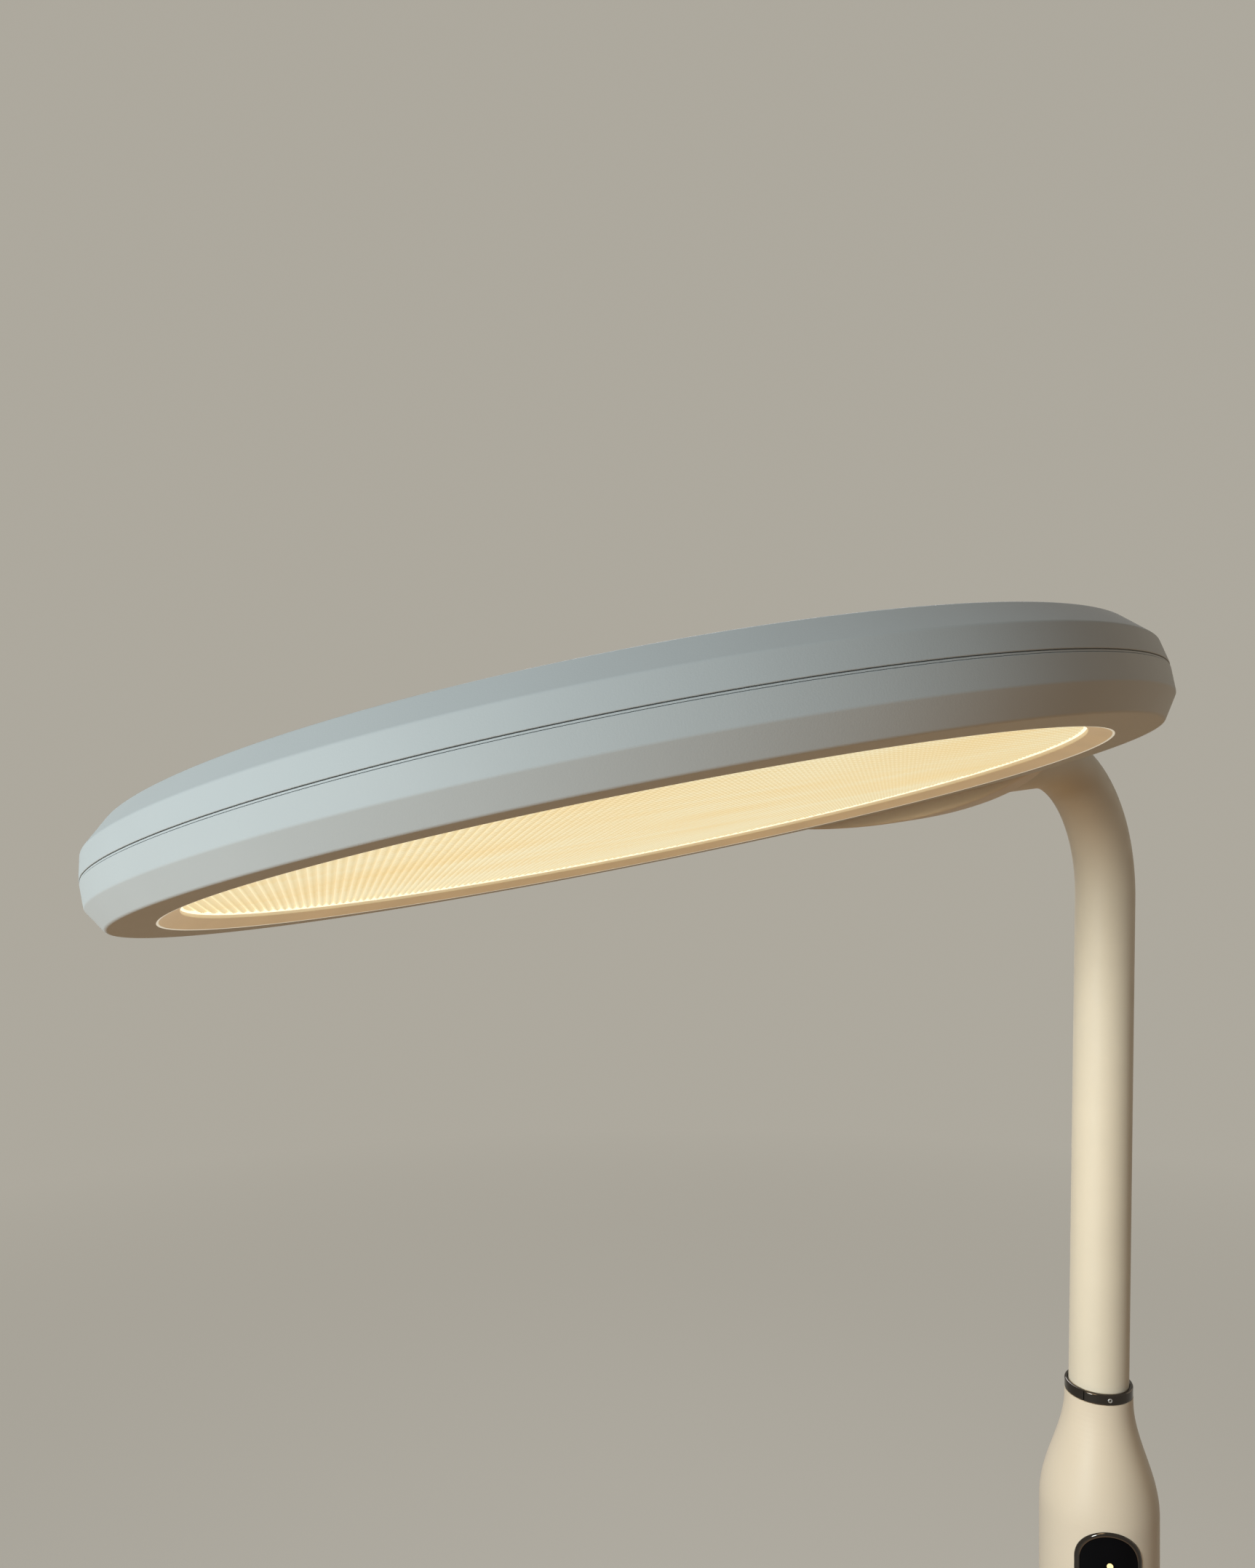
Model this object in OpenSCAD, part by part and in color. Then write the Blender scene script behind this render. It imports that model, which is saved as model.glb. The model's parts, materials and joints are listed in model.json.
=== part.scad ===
// LED floor lamp: round weighted foot, two-piece pole, touch control housing,
// bendable sleeved neck and a flat round light head that turns on the neck's end.
// Millimetres, +Z up, the floor is z = 0 and the pole stands on the Z axis.

/* [Foot] */
// Outer diameter of the foot
base_d = 280; // [240:1:330]
// Height of the foot's upright edge above the floor
base_edge_h = 14; // [12:0.5:20]
// Height of the foot at the pole
base_h = 28; // [24:0.5:36]
// Radius of the foot's rounded shoulder
base_round = 5; // [2:0.5:8]
// Wall of the foot's spun cover
base_wall = 1.6; // [1:0.1:2.4]
// Diameter of the iron weight
weight_d = 240; // [180:1:256]
// Thickness of the steel bottom plate
plate_t = 1.5; // [1:0.1:3]
// Thickness of the anti-slip pad
pad_t = 2; // [1:0.1:4]
// Diameter of the anti-slip pad
pad_d = 266; // [200:1:274]
// Circle of the bottom plate's screws
plate_screw_circle_d = 180; // [120:1:200]
// Bore of the cord gland
gland_bore_d = 5; // [4:0.1:5.6]

/* [Pole] */
// Height of the neck's foot above the floor
stand_h = 1000; // [850:5:1300]
// Outer diameter of the pole
pole_d = 25; // [22:0.5:28]
// Wall of the pole's tubes
pole_wall = 1.5; // [1:0.1:2.5]
// Length of each plug inside the pole
pole_plug_l = 50; // [30:1:80]
// Height of the trim collar at the pole's foot
collar_h = 12; // [8:0.5:20]
// Diameter of the long bolt through the foot
stud_d = 10; // [8:0.5:12]

/* [Control housing] */
// Diameter of the housing
housing_d = 51.6; // [46:0.2:60]
// Length of the housing, from the neck's foot to its lower edge
housing_l = 190; // [170:1:240]
// Length of the bottle-shaped shoulder
shoulder_l = 52; // [40:1:60]
// Wall of the housing
housing_wall = 2.2; // [1.6:0.1:3]
// Length of the tapered tail under the housing
tail_l = 44; // [38:1:60]
// Depth of the pole's socket in the tail
tail_socket = 30; // [20:1:34]
// Width of the touch panel with its bezel
panel_w = 28.2; // [26:0.2:34]
// Length of the touch panel with its bezel
panel_l = 104; // [80:1:112]
// Distance from the neck's foot to the panel's upper end
panel_drop = 50; // [47:0.5:56]
// Width of the bezel's band
bezel_w = 2; // [1.4:0.1:3.2]
// How far the bezel stands out of the housing
bezel_out = 0.7; // [0.4:0.1:1.2]
// Distance between the panel's icons
icon_pitch = 25; // [20:0.5:26]

/* [Neck] */
// Direction of the neck's plane, counted from the X axis
neck_azimuth = 233.5; // [180:0.5:290]
// Lean of the neck's upright, away from the head
neck_lean = 1.6; // [0:0.1:6]
// Length of the neck's upright
neck_rise = 224.4; // [215:0.2:260]
// Radius of the neck's bend
neck_bend_r = 62; // [56:0.5:80]
// Angle of the neck's bend
neck_bend = 95.4; // [88:0.2:110]
// Length of the neck after its bend
neck_reach = 40; // [36:0.5:60]
// Outer diameter of the silicone sleeve
sleeve_d = 26; // [24:0.2:27]
// Wall of the silicone sleeve
sleeve_wall = 2.5; // [1.5:0.1:2.8]
// Outer diameter of the chrome ring
ring_d = 29.5; // [29:0.1:31]
// Height of the chrome ring
ring_h = 4.6; // [4:0.1:9]
// Diameter of the ball on each neck link
ball_d = 14; // [12:0.2:15]
// Diameter of the supply wire in the neck
wire_d = 3.6; // [3:0.1:4.2]

/* [Head] */
// Diameter of the light opening at the head's flat face
aperture_d = 267; // [230:0.5:310]
// Width of the rim, from the light opening to the seam
rim_w = 16.5; // [14:0.5:30]
// Height of the head above its seam
head_up = 12.6; // [10.5:0.1:16]
// Depth of the head below its seam
head_down = 12.6; // [12:0.1:16]
// Height of the upright bands on both sides of the seam
band_h = 6.5; // [5:0.1:7]
// Width of the upper chamfer
upper_chamfer = 6; // [3:0.1:9]
// Width of the lower chamfer
lower_chamfer = 4; // [2:0.1:7]
// Wall of the head's shells
head_wall = 2.4; // [1.8:0.1:3]
// Thickness of the ring in the seam
seam_t = 1.2; // [0.8:0.1:2]
// Width of the bevel round the light opening
bevel_w = 5.8; // [3:0.1:7]
// Depth of the bevel round the light opening
bevel_h = 2.3; // [1.5:0.1:2.6]
// Thickness of the diffuser
diffuser_t = 2; // [1.2:0.1:2.4]
// Thickness of the light guide
guide_t = 2.6; // [2:0.1:3]
// Roll of the head about the neck's end
head_roll = 12.5; // [-30:0.5:30]
// Number of LEDs round the light guide
led_count = 60; // [24:1:96]
// Number of screws that hold the back plate
head_screw_count = 6; // [4:1:8]

/* [Head bracket] */
// Length of the bracket from the swivel to the rim
bracket_l = 39; // [36:0.5:50]
// Width of the bracket's saddle along the rim
bracket_w = 112; // [80:1:120]
// Thickness of the saddle behind the rim, at its middle
saddle_t = 14; // [12:0.5:20]
// Thickness of the saddle at its tips
saddle_tip_t = 2.5; // [1.5:0.1:4]
// Depth of the saddle's keel below the seam, at its middle
keel_h = 18; // [17:0.2:24]
// Depth of the saddle's keel below the seam, at its tips
keel_tip_h = 11; // [8:0.2:14]
// Height of the saddle's crown above the seam, at its middle
crown_h = 9; // [8:0.2:11]
// Height of the saddle's crown above the seam, at its tips
crown_tip_h = 4; // [2:0.2:7]
// Length of the collar on the neck's end
end_collar_l = 4.7; // [3:0.1:8]
// Diameter of the swivel spindle
spindle_d = 10; // [9:0.1:11]
// Thickness of the bracket's web on the spindle
web_t = 12; // [8:0.5:14]

/* [Clearances] */
// Radial running clearance of the swivel spindle
running_gap = 0.05; // [0.02:0.01:0.1]
// Gap between pieces that move on each other
moving_gap = 0.3; // [0.2:0.05:0.5]
// Gap round pieces that are fitted together
fit_gap = 0.1; // [0.05:0.01:0.2]
// Radial gap round the supply wire
wire_gap = 0.8; // [0.5:0.05:0.9]

/* [Hidden] */
$fn = 96;

// Finishes, as the lamp shows them
ivory = "#ece4d3";
shell_white = "#e9eaea";
chrome_grey = "#c9cdd2";
steel_grey = "#8e9297";
iron_grey = "#4a4b4d";
rubber_black = "#232324";
glass_black = "#0b0b0d";
glow = "#ffe2a0";
board_green = "#2f6b46";

// Amount by which a cut passes the face that it opens
over = 0.5;

// Foot, from the floor up
base_r = base_d / 2;
plate_z = pad_t;
weight_z = plate_z + plate_t;
hub_land = 18;
slope_r = pole_d / 2 + hub_land;
slope = (base_h - base_edge_h) / (base_r - base_round - slope_r);
shoulder_steps = 8;
plate_r = base_r - base_wall - fit_gap;
weight_hole_gap = 1;
weight_hole_r = stud_d / 2 + weight_hole_gap;
weight_rim_gap = 0.4;
plate_screw_r = 2;
plate_screw_l = 9;
plate_screw_head_t = 1.2;
plate_screw_count = 4;
plate_screw_start = 45;
gland_l = 9;
gland_flange = 1.6;
gland_flange_out = 0.6;
gland_wall = 1.2;
gland_lift = 0.4;
gland_r = gland_bore_d / 2 + gland_wall;
gland_z = weight_z + gland_lift + gland_r;
cord_groove_gap = 0.5;
cord_groove_w = 2 * (gland_r + cord_groove_gap);

// Pole
pole_r = pole_d / 2;
pole_bore_r = pole_r - pole_wall;
tail_z = stand_h - housing_l - tail_l;
pole_top_z = tail_z + tail_socket;
pole_split_z = (base_h + pole_top_z) / 2;
stud_nut_t = 7;
stud_nut_ratio = 0.95;
stud_nut_r = stud_d * stud_nut_ratio;
stud_head_t = 1.2;
stud_wall = 2;
stud_bore_r = stud_d / 2 - stud_wall;
stud_end_l = 1;
stud_top_z = base_h + pole_plug_l + stud_nut_t + stud_end_l;

// Control housing
housing_r = housing_d / 2;
housing_top_r = ring_d / 2;
housing_z = stand_h - housing_l;
housing_in_r = housing_r - housing_wall;
top_wall = 12;
tail_wall = 2;
shoulder_flat = 2;
spigot_h = 12;
board_slot = 5;
board_t = 1.6;
board_w = 34;
board_l = 96;
board_y = 4;
panel_top_z = stand_h - panel_drop;
panel_bottom_z = panel_top_z - panel_l;
glass_w = panel_w - 2 * bezel_w;
glass_l = panel_l - 2 * bezel_w;
glass_out = bezel_out / 2;
bezel_back = 0.4;
icon_r = 2.2;
icon_count = 4;
icon_gap = 13;
icon_first_drop = icon_gap + bezel_w;
light_box_margin = 1.5;
light_well = 0.6;
light_box_t = 1.2;
touch_board_t = 1.2;
touch_board_front = sqrt(pow(housing_in_r, 2) - pow(glass_w / 2, 2)) - light_box_t;
housing_screw_r = 1.5;
housing_screw_l = 7;
housing_screw_sunk = 0.3;
housing_screw_turn = 35;

// Neck: t is the length along its centre line, counted from the ring's lower edge
sleeve_r = sleeve_d / 2;
link_r = sleeve_r - sleeve_wall - moving_gap;
ball_r = ball_d / 2;
cup_r = ball_r + moving_gap;
cup_lip = 2;
stem_ratio = 0.78;
stem_r = ball_r * stem_ratio;
shoulder_gap = 6.5;
bar_lap = 1.5;
bar_step = 0.5;
wire_r = wire_d / 2;
wire_tail_l = 16;
wire_head_l = 4;
wire_sides = 12;
sleeve_sides = 40;
wire_bore_r = wire_r + wire_gap;
wire_way_gap = 1;
wire_way_r = wire_bore_r + wire_way_gap;
sleeve_foot_t = fit_gap + sleeve_r * sin(neck_lean);
arc_l = neck_bend_r * neck_bend * PI / 180;
neck_l = neck_rise + arc_l + neck_reach;
end_angle = neck_bend - neck_lean;
link_count = 6;
foot_joint_t = 44;
end_link_l = 68;
link_pitch = (neck_l - end_link_l - foot_joint_t) / (link_count - 1);
foot_depth = 24;
ring_bore_r = sleeve_r + moving_gap;
ring_split_azimuth = 235;
ring_split_w = 0.4;
ring_screw_azimuth = 279;
ring_screw_r = 1;
ring_screw_out = 0.15;
arc_start = neck_rise * [-sin(neck_lean), cos(neck_lean)];
arc_centre = arc_start + neck_bend_r * [cos(neck_lean), sin(neck_lean)];

// Head, in its own frame: x points away from the neck, z points up from the seam
head_d = aperture_d + 2 * rim_w;
head_r = head_d / 2;
head_offset = end_collar_l + moving_gap + bracket_l + head_r;
upper_band_in = 1;
lower_band_in = 0.2;
seam_in = 0.5;
seam_w = 3;
lip_t = 1.2;
wall_lean_ratio = 0.45;
wall_lean = head_wall * wall_lean_ratio;
lip_r = aperture_d / 2 - bevel_w;
diffuser_z = -head_down + bevel_h + lip_t;
guide_z = diffuser_z + diffuser_t + fit_gap;
reflector_t = 0.4;
reflector_z = guide_z + guide_t + fit_gap;
back_plate_t = 1;
back_plate_z = reflector_z + reflector_t + fit_gap;
stack_margin = 3.2;
stack_r = head_r - lower_chamfer - lower_band_in - head_wall - stack_margin;
led_gap = 0.3;
led_t = 0.8;
led_w = 3;
led_seat = 0.05;
led_start = 3;
strip_t = 0.6;
strip_r = stack_r + led_gap + led_t;
head_screw_in = 9;
head_screw_circle_r = stack_r - head_screw_in;
head_screw_r = 1.5;
head_screw_l = 8;
boss_r = 3.6;
rim_hole_gap = 0.4;
rim_hole_r = wire_bore_r + rim_hole_gap;
rim_hole_l = 8;

// Head bracket
washer_t = 1.2;
washer_rim = 0.2;
spindle_end_l = 11;
spindle_l = web_t + spindle_end_l;
swivel_nut_t = 5.5;
swivel_nut_ratio = 0.85;
swivel_nut_r = spindle_d * swivel_nut_ratio;
pocket_gap = 1;
pocket_r = swivel_nut_r + pocket_gap;
bracket_end_x = -(head_r + bracket_l);
web_x = bracket_end_x + web_t;
collar_step = 0.2;
boss_step = 0.8;
boss_taper = 1;
bracket_boss_r = sleeve_r + boss_step;
bracket_boss_end_r = bracket_boss_r - boss_taper;
bracket_seat = 0.15;
saddle_half = bracket_w / 2;
saddle_sag = head_r + saddle_t - saddle_tip_t - sqrt(pow(head_r, 2) - pow(saddle_half, 2));
saddle_r = arc_radius(saddle_half, saddle_sag);
keel_r = arc_radius(saddle_half, keel_h - keel_tip_h);
crown_r = arc_radius(saddle_half, crown_h - crown_tip_h);
bracket_screw_y = 26;
bracket_screw_z = 3.6;
bracket_screw_r = 1.4;
bracket_screw_l = 10;
screw_way = 2;

// Radius of the arc that sags by sag over twice half
function arc_radius(half, sag) = (pow(half, 2) + pow(sag, 2)) / (2 * sag);

// Height of the foot's cover at radius r, on the slope
function cover_z(r) = base_edge_h + slope * (base_r - base_round - r);

// Smooth step from 0 to 1 of the ogee shoulders
function ogee(u) = (1 - cos(180 * u)) / 2;

// Radius of the control housing, u below the neck's foot
function shoulder_at(u) =
    u < shoulder_flat ? housing_top_r
    : u > shoulder_l ? housing_r
    : housing_top_r + (housing_r - housing_top_r) * ogee((u - shoulder_flat) / (shoulder_l - shoulder_flat));

// Direction of the neck's centre line at t, from upright towards the head
function neck_angle(t) =
    t < 0 ? 0
    : t <= neck_rise ? -neck_lean
    : t >= neck_rise + arc_l ? end_angle
    : (t - neck_rise) / neck_bend_r * 180 / PI - neck_lean;

// Point of the neck's centre line at t, in its plane
function neck_point(t) =
    t < 0 ? [0, t]
    : t <= neck_rise ? t * [-sin(neck_lean), cos(neck_lean)]
    : t <= neck_rise + arc_l
        ? arc_centre + neck_bend_r * [-cos(neck_angle(t)), sin(neck_angle(t))]
        : arc_centre + neck_bend_r * [-cos(end_angle), sin(end_angle)]
          + (t - neck_rise - arc_l) * [sin(end_angle), cos(end_angle)];

// Place of neck joint i along the centre line
function joint_t(i) = foot_joint_t + (i - 1) * link_pitch;

// Frame of the neck's plane, with its origin at the neck's foot
module neck_plane() {
    translate([0, 0, stand_h]) rotate([0, 0, neck_azimuth]) children();
}

// Frame on the neck's centre line at t, with z along the line
module at_neck(t) {
    p = neck_point(t);
    translate([p[0], 0, p[1]]) rotate([0, neck_angle(t), 0]) children();
}

// Round bar along the neck's centre line from t1 to t2, of radius r on the straight runs and arc_r
// on the bend; the straight runs lap into the bend
module neck_bar(r, arc_r, t1, t2) {
    arc_end = neck_rise + arc_l;
    if (t1 < neck_rise)
        at_neck(t1) cylinder(h = min(t2, neck_rise + bar_lap) - t1, r = r);
    if (t1 < arc_end && t2 > neck_rise) {
        a1 = neck_angle(max(t1, neck_rise));
        a2 = neck_angle(min(t2, arc_end));
        translate([arc_centre[0], 0, arc_centre[1]]) rotate([90, 0, 0]) rotate([0, 0, 180 - a2])
            rotate_extrude(angle = a2 - a1) translate([neck_bend_r, 0]) circle(r = arc_r);
    }
    if (t2 > arc_end)
        at_neck(arc_end) translate([0, 0, max(t1 - arc_end, -bar_lap)])
            cylinder(h = t2 - max(t1, arc_end - bar_lap), r = r);
}

// Smooth solid along the neck's centre line from t1 to t2, with a bore where r_in is above 0
module neck_sweep(r_out, r_in, t1, t2, sides) {
    bend_steps = 14;
    stations = concat(
        [t1], t1 < 0 ? [0] : [],
        [for (i = [0 : bend_steps]) neck_rise + arc_l * i / bend_steps],
        [t2]
    );
    outer = sweep_rings(r_out, stations, sides);
    rings = r_in > 0 ? concat(outer, sweep_rings(r_in, reversed(stations), sides)) : outer;
    last = len(rings) - 1;
    walls = [for (j = [0 : r_in > 0 ? last : last - 1], k = [0 : sides - 1])
        let (a = j * sides, b = (j == last ? 0 : j + 1) * sides, n = (k + 1) % sides)
        each [[a + k, a + n, b + n], [a + k, b + n, b + k]]];
    caps = r_in > 0 ? [] : [[for (k = [sides - 1 : -1 : 0]) k], [for (k = [0 : sides - 1]) last * sides + k]];
    polyhedron(points = [for (ring = rings) each ring], faces = concat(walls, caps));
}

// Rings of points round the neck's centre line
function sweep_rings(r, stations, sides) = [for (t = stations) let (p = neck_point(t), a = neck_angle(t))
    [for (k = [0 : sides - 1]) let (w = -360 * k / sides)
        [p[0] + r * cos(w) * cos(a), r * sin(w), p[1] - r * cos(w) * sin(a)]]];

function reversed(list) = [for (i = [len(list) - 1 : -1 : 0]) list[i]];

// Frame of the head, with its origin at the centre of the seam
module head_frame() {
    p = neck_point(neck_l);
    neck_plane() translate([p[0], 0, p[1]]) rotate([0, end_angle - 90, 0])
        rotate([head_roll, 0, 0]) translate([head_offset, 0, 0]) children();
}

// Bar along the head's own x axis, from x1 to x2
module head_bar(r, x1, x2, sides = 96) {
    translate([x1, 0, 0]) rotate([0, 90, 0]) cylinder(h = x2 - x1, r = r, $fn = sides);
}

// Copies on a circle about z
module around(count, r, start = 0) {
    for (i = [0 : count - 1])
        rotate([0, 0, start + i * 360 / count]) translate([r, 0, 0]) children();
}

// Upright stadium of width w and length l, pushed out along -Y from the axis to y_far
module panel_prism(w, l, y_far) {
    z_mid = panel_top_z - panel_l / 2;
    translate([0, 0, z_mid]) rotate([90, 0, 0]) linear_extrude(y_far) {
        square([w, l - w], center = true);
        for (side = [-1, 1]) translate([0, side * (l - w) / 2]) circle(d = w);
    }
}

// Tube wall between two radii over the panel's height
module panel_wall(r_in, r_out) {
    translate([0, 0, panel_bottom_z - over]) difference() {
        cylinder(h = panel_l + 2 * over, r = r_out);
        translate([0, 0, -over]) cylinder(h = panel_l + 4 * over, r = r_in);
    }
}

module base_cover() color(ivory) {
    difference() {
        rotate_extrude() polygon(concat(
            [[base_r - base_wall, pad_t], [base_r, pad_t]],
            [for (i = [0 : shoulder_steps])
                [base_r - base_round + base_round * cos(90 * i / shoulder_steps),
                 base_edge_h - base_round + base_round * sin(90 * i / shoulder_steps)]],
            [[slope_r, base_h], [weight_hole_r, base_h], [weight_hole_r, base_h - base_wall],
             [slope_r, base_h - base_wall]],
            [for (i = [shoulder_steps : -1 : 0])
                [base_r - base_round + (base_round - base_wall) * cos(90 * i / shoulder_steps),
                 base_edge_h - base_round + (base_round - base_wall) * sin(90 * i / shoulder_steps)]]
        ));
        gland_hole();
    }
}

module gland_hole() {
    translate([0, base_r + over, gland_z]) rotate([90, 0, 0])
        cylinder(h = gland_l + 2 * over, r = gland_r + fit_gap);
}

module base_weight() color(iron_grey) {
    weight_r = weight_d / 2;
    top_gap = base_wall + fit_gap;
    rim_z = cover_z(weight_r) - top_gap - weight_rim_gap;
    difference() {
        rotate_extrude() polygon([
            [weight_hole_r, weight_z], [weight_r, weight_z], [weight_r, rim_z],
            [slope_r, base_h - top_gap], [weight_hole_r, base_h - top_gap]
        ]);
        around(plate_screw_count, plate_screw_circle_d / 2, plate_screw_start)
            translate([0, 0, weight_z - over])
                cylinder(h = plate_screw_l + over, r = plate_screw_r + fit_gap);
        translate([-cord_groove_w / 2, 0, weight_z - over])
            cube([cord_groove_w, weight_r + over, gland_z + gland_r - weight_z + 2 * over]);
    }
}

module base_plate() color(steel_grey) {
    translate([0, 0, plate_z]) difference() {
        cylinder(h = plate_t, r = plate_r);
        translate([0, 0, -over]) cylinder(h = plate_t + 2 * over, r = weight_hole_r);
        around(plate_screw_count, plate_screw_circle_d / 2, plate_screw_start)
            translate([0, 0, -over]) cylinder(h = plate_t + 2 * over, r = plate_screw_r + fit_gap);
    }
}

module base_pad() color(rubber_black) {
    difference() {
        cylinder(h = pad_t, r = pad_d / 2);
        around(plate_screw_count, plate_screw_circle_d / 2, plate_screw_start)
            translate([0, 0, pad_t - plate_screw_head_t - fit_gap])
                cylinder(h = pad_t, r = 2 * plate_screw_r + fit_gap);
        translate([0, 0, pad_t - stud_head_t - fit_gap]) cylinder(h = pad_t, r = stud_d + fit_gap);
    }
}

module base_screws() color(steel_grey) {
    around(plate_screw_count, plate_screw_circle_d / 2, plate_screw_start) translate([0, 0, plate_z]) {
        translate([0, 0, -plate_screw_head_t]) cylinder(h = plate_screw_head_t, r = 2 * plate_screw_r);
        cylinder(h = plate_t + plate_screw_l - over, r = plate_screw_r);
    }
}

module cord_gland() color(rubber_black) {
    translate([0, base_r, gland_z]) rotate([90, 0, 0]) difference() {
        union() {
            translate([0, 0, -gland_flange]) cylinder(h = gland_flange, r = gland_r + gland_flange_out);
            cylinder(h = gland_l, r = gland_r);
        }
        translate([0, 0, -gland_flange - over])
            cylinder(h = gland_l + gland_flange + 2 * over, d = gland_bore_d);
    }
}

module pole_stud() color(steel_grey) {
    difference() {
        union() {
            translate([0, 0, plate_z - stud_head_t]) cylinder(h = stud_head_t, r = stud_d);
            translate([0, 0, plate_z]) cylinder(h = stud_top_z - plate_z, d = stud_d);
        }
        translate([0, 0, weight_z]) cylinder(h = stud_top_z, r = stud_bore_r);
    }
}

module pole_stud_nut() color(steel_grey) {
    translate([0, 0, base_h + pole_plug_l]) difference() {
        cylinder(h = stud_nut_t, r = stud_nut_r, $fn = 6);
        translate([0, 0, -over]) cylinder(h = stud_nut_t + 2 * over, d = stud_d + 2 * fit_gap);
    }
}

module pole_foot_plug() color(steel_grey) {
    translate([0, 0, base_h]) difference() {
        cylinder(h = pole_plug_l, r = pole_bore_r - fit_gap);
        translate([0, 0, -over]) cylinder(h = pole_plug_l + 2 * over, d = stud_d + 2 * fit_gap);
    }
}

module pole_collar() color(chrome_grey) {
    flare_w = 5.5;
    flare_h = 2.5;
    low_t = 3.5;
    top_t = 1.4;
    edge = 0.7;
    translate([0, 0, base_h]) rotate_extrude() polygon([
        [pole_r + fit_gap, 0], [pole_r + flare_w, 0], [pole_r + low_t, flare_h],
        [pole_r + top_t, collar_h - edge], [pole_r + top_t - edge, collar_h], [pole_r + fit_gap, collar_h]
    ]);
}

module pole_tube(z1, z2) {
    translate([0, 0, z1]) difference() {
        cylinder(h = z2 - z1, r = pole_r);
        translate([0, 0, -over]) cylinder(h = z2 - z1 + 2 * over, r = pole_bore_r);
    }
}

module pole_lower() color(ivory) {
    pole_tube(base_h, pole_split_z - fit_gap / 2);
}

module pole_coupling() color(steel_grey) {
    translate([0, 0, pole_split_z - pole_plug_l]) difference() {
        cylinder(h = 2 * pole_plug_l, r = pole_bore_r - fit_gap);
        translate([0, 0, -over]) cylinder(h = 2 * pole_plug_l + 2 * over, r = wire_way_r);
    }
}

module pole_upper() color(ivory) {
    pole_tube(pole_split_z + fit_gap / 2, pole_top_z - fit_gap);
}

module housing_tail() color(ivory) {
    tail_low_r = pole_r + tail_wall;
    straight_l = 3;
    taper_l = tail_l - straight_l;
    steps = 16;
    difference() {
        union() {
            rotate_extrude() polygon(concat(
                [[0, tail_z], [tail_low_r, tail_z]],
                [for (i = [1 : steps])
                    [tail_low_r + (housing_r - tail_low_r) * ogee(i / steps), tail_z + taper_l * i / steps]],
                [[housing_r, housing_z - fit_gap], [0, housing_z - fit_gap]]
            ));
            translate([0, 0, housing_z - over]) cylinder(h = spigot_h + over, r = housing_in_r - fit_gap);
        }
        translate([0, 0, tail_z - over]) cylinder(h = tail_socket + over, r = pole_r + fit_gap);
        cylinder(h = stand_h, r = wire_way_r);
        translate([-board_w / 2 - fit_gap, board_y - fit_gap, housing_z + spigot_h - board_slot])
            cube([board_w + 2 * fit_gap, board_t + 2 * fit_gap, board_slot + over]);
        housing_screw_bars(housing_screw_r + fit_gap / 2, housing_screw_l + over);
    }
}

// Radial bars of the screws at the back of the housing's lower edge
module housing_screw_bars(r, l) {
    for (side = [-1, 1])
        rotate([0, 0, 90 + side * housing_screw_turn])
            translate([housing_r - housing_screw_l, 0, housing_z + spigot_h / 2])
                rotate([0, 90, 0]) cylinder(h = l, r = r);
}

module control_housing() color(ivory) {
    steps = 24;
    profile = [for (i = [0 : steps]) i * shoulder_l / steps];
    difference() {
        rotate_extrude() polygon(concat(
            [[0, housing_z], [housing_r, housing_z]],
            [for (i = [steps : -1 : 0]) [shoulder_at(profile[i]), stand_h - profile[i]]],
            [[0, stand_h]]
        ));
        rotate_extrude() polygon(concat(
            [[0, housing_z - over], [housing_in_r, housing_z - over]],
            [for (i = [steps : -1 : 0]) if (profile[i] > top_wall)
                [shoulder_at(profile[i]) - housing_wall, stand_h - profile[i]]],
            [[shoulder_at(top_wall) - housing_wall, stand_h - top_wall], [0, stand_h - top_wall]]
        ));
        translate([0, 0, stand_h - top_wall - over]) cylinder(h = top_wall + 2 * over, r = link_r + fit_gap);
        panel_prism(panel_w + 2 * fit_gap, panel_l + 2 * fit_gap, housing_d);
        housing_screw_bars(housing_screw_r + fit_gap, housing_screw_l + over);
    }
}

module housing_screws() color(steel_grey) {
    housing_screw_bars(housing_screw_r, housing_screw_l - housing_screw_sunk);
}

module panel_bezel() color(chrome_grey) {
    intersection() {
        difference() {
            panel_prism(panel_w, panel_l, housing_d);
            translate([0, over, 0]) panel_prism(glass_w, glass_l, housing_d + 2 * over);
        }
        panel_wall(housing_in_r + bezel_back, housing_r + bezel_out);
    }
}

module touch_panel() color(glass_black) {
    difference() {
        intersection() {
            panel_prism(glass_w - 2 * fit_gap, glass_l - 2 * fit_gap, housing_d);
            panel_wall(housing_in_r, housing_r + glass_out);
        }
        panel_icon_bars(icon_r + fit_gap, housing_d);
    }
}

// Bars through the panel at its icons
module panel_icon_bars(r, y_far) {
    for (i = [0 : icon_count - 1])
        translate([0, 0, panel_top_z - icon_first_drop - i * icon_pitch])
            rotate([90, 0, 0]) cylinder(h = y_far, r = r);
}

module panel_icons() color(glow) {
    intersection() {
        panel_icon_bars(icon_r, housing_d);
        panel_wall(housing_in_r, housing_r + glass_out);
    }
}

module panel_light_box() color(shell_white) {
    difference() {
        intersection() {
            panel_prism(glass_w - 2 * light_box_margin, glass_l - 2 * light_box_margin, housing_d);
            translate([0, 0, panel_bottom_z]) cylinder(h = panel_l, r = housing_in_r - fit_gap);
        }
        translate([-housing_r, -touch_board_front, panel_bottom_z - over])
            cube([housing_d, housing_d, panel_l + 2 * over]);
        panel_icon_bars(icon_r + light_well, housing_d);
    }
}

module touch_board() color(board_green) {
    width = glass_w - 2 * light_box_margin;
    height = glass_l - 2 * light_box_margin;
    translate([-width / 2, -touch_board_front + fit_gap, panel_bottom_z + (panel_l - height) / 2])
        cube([width, touch_board_t, height]);
}

module driver_board() color(board_green) {
    translate([-board_w / 2, board_y, housing_z + spigot_h - board_slot]) cube([board_w, board_t, board_l]);
}

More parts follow.
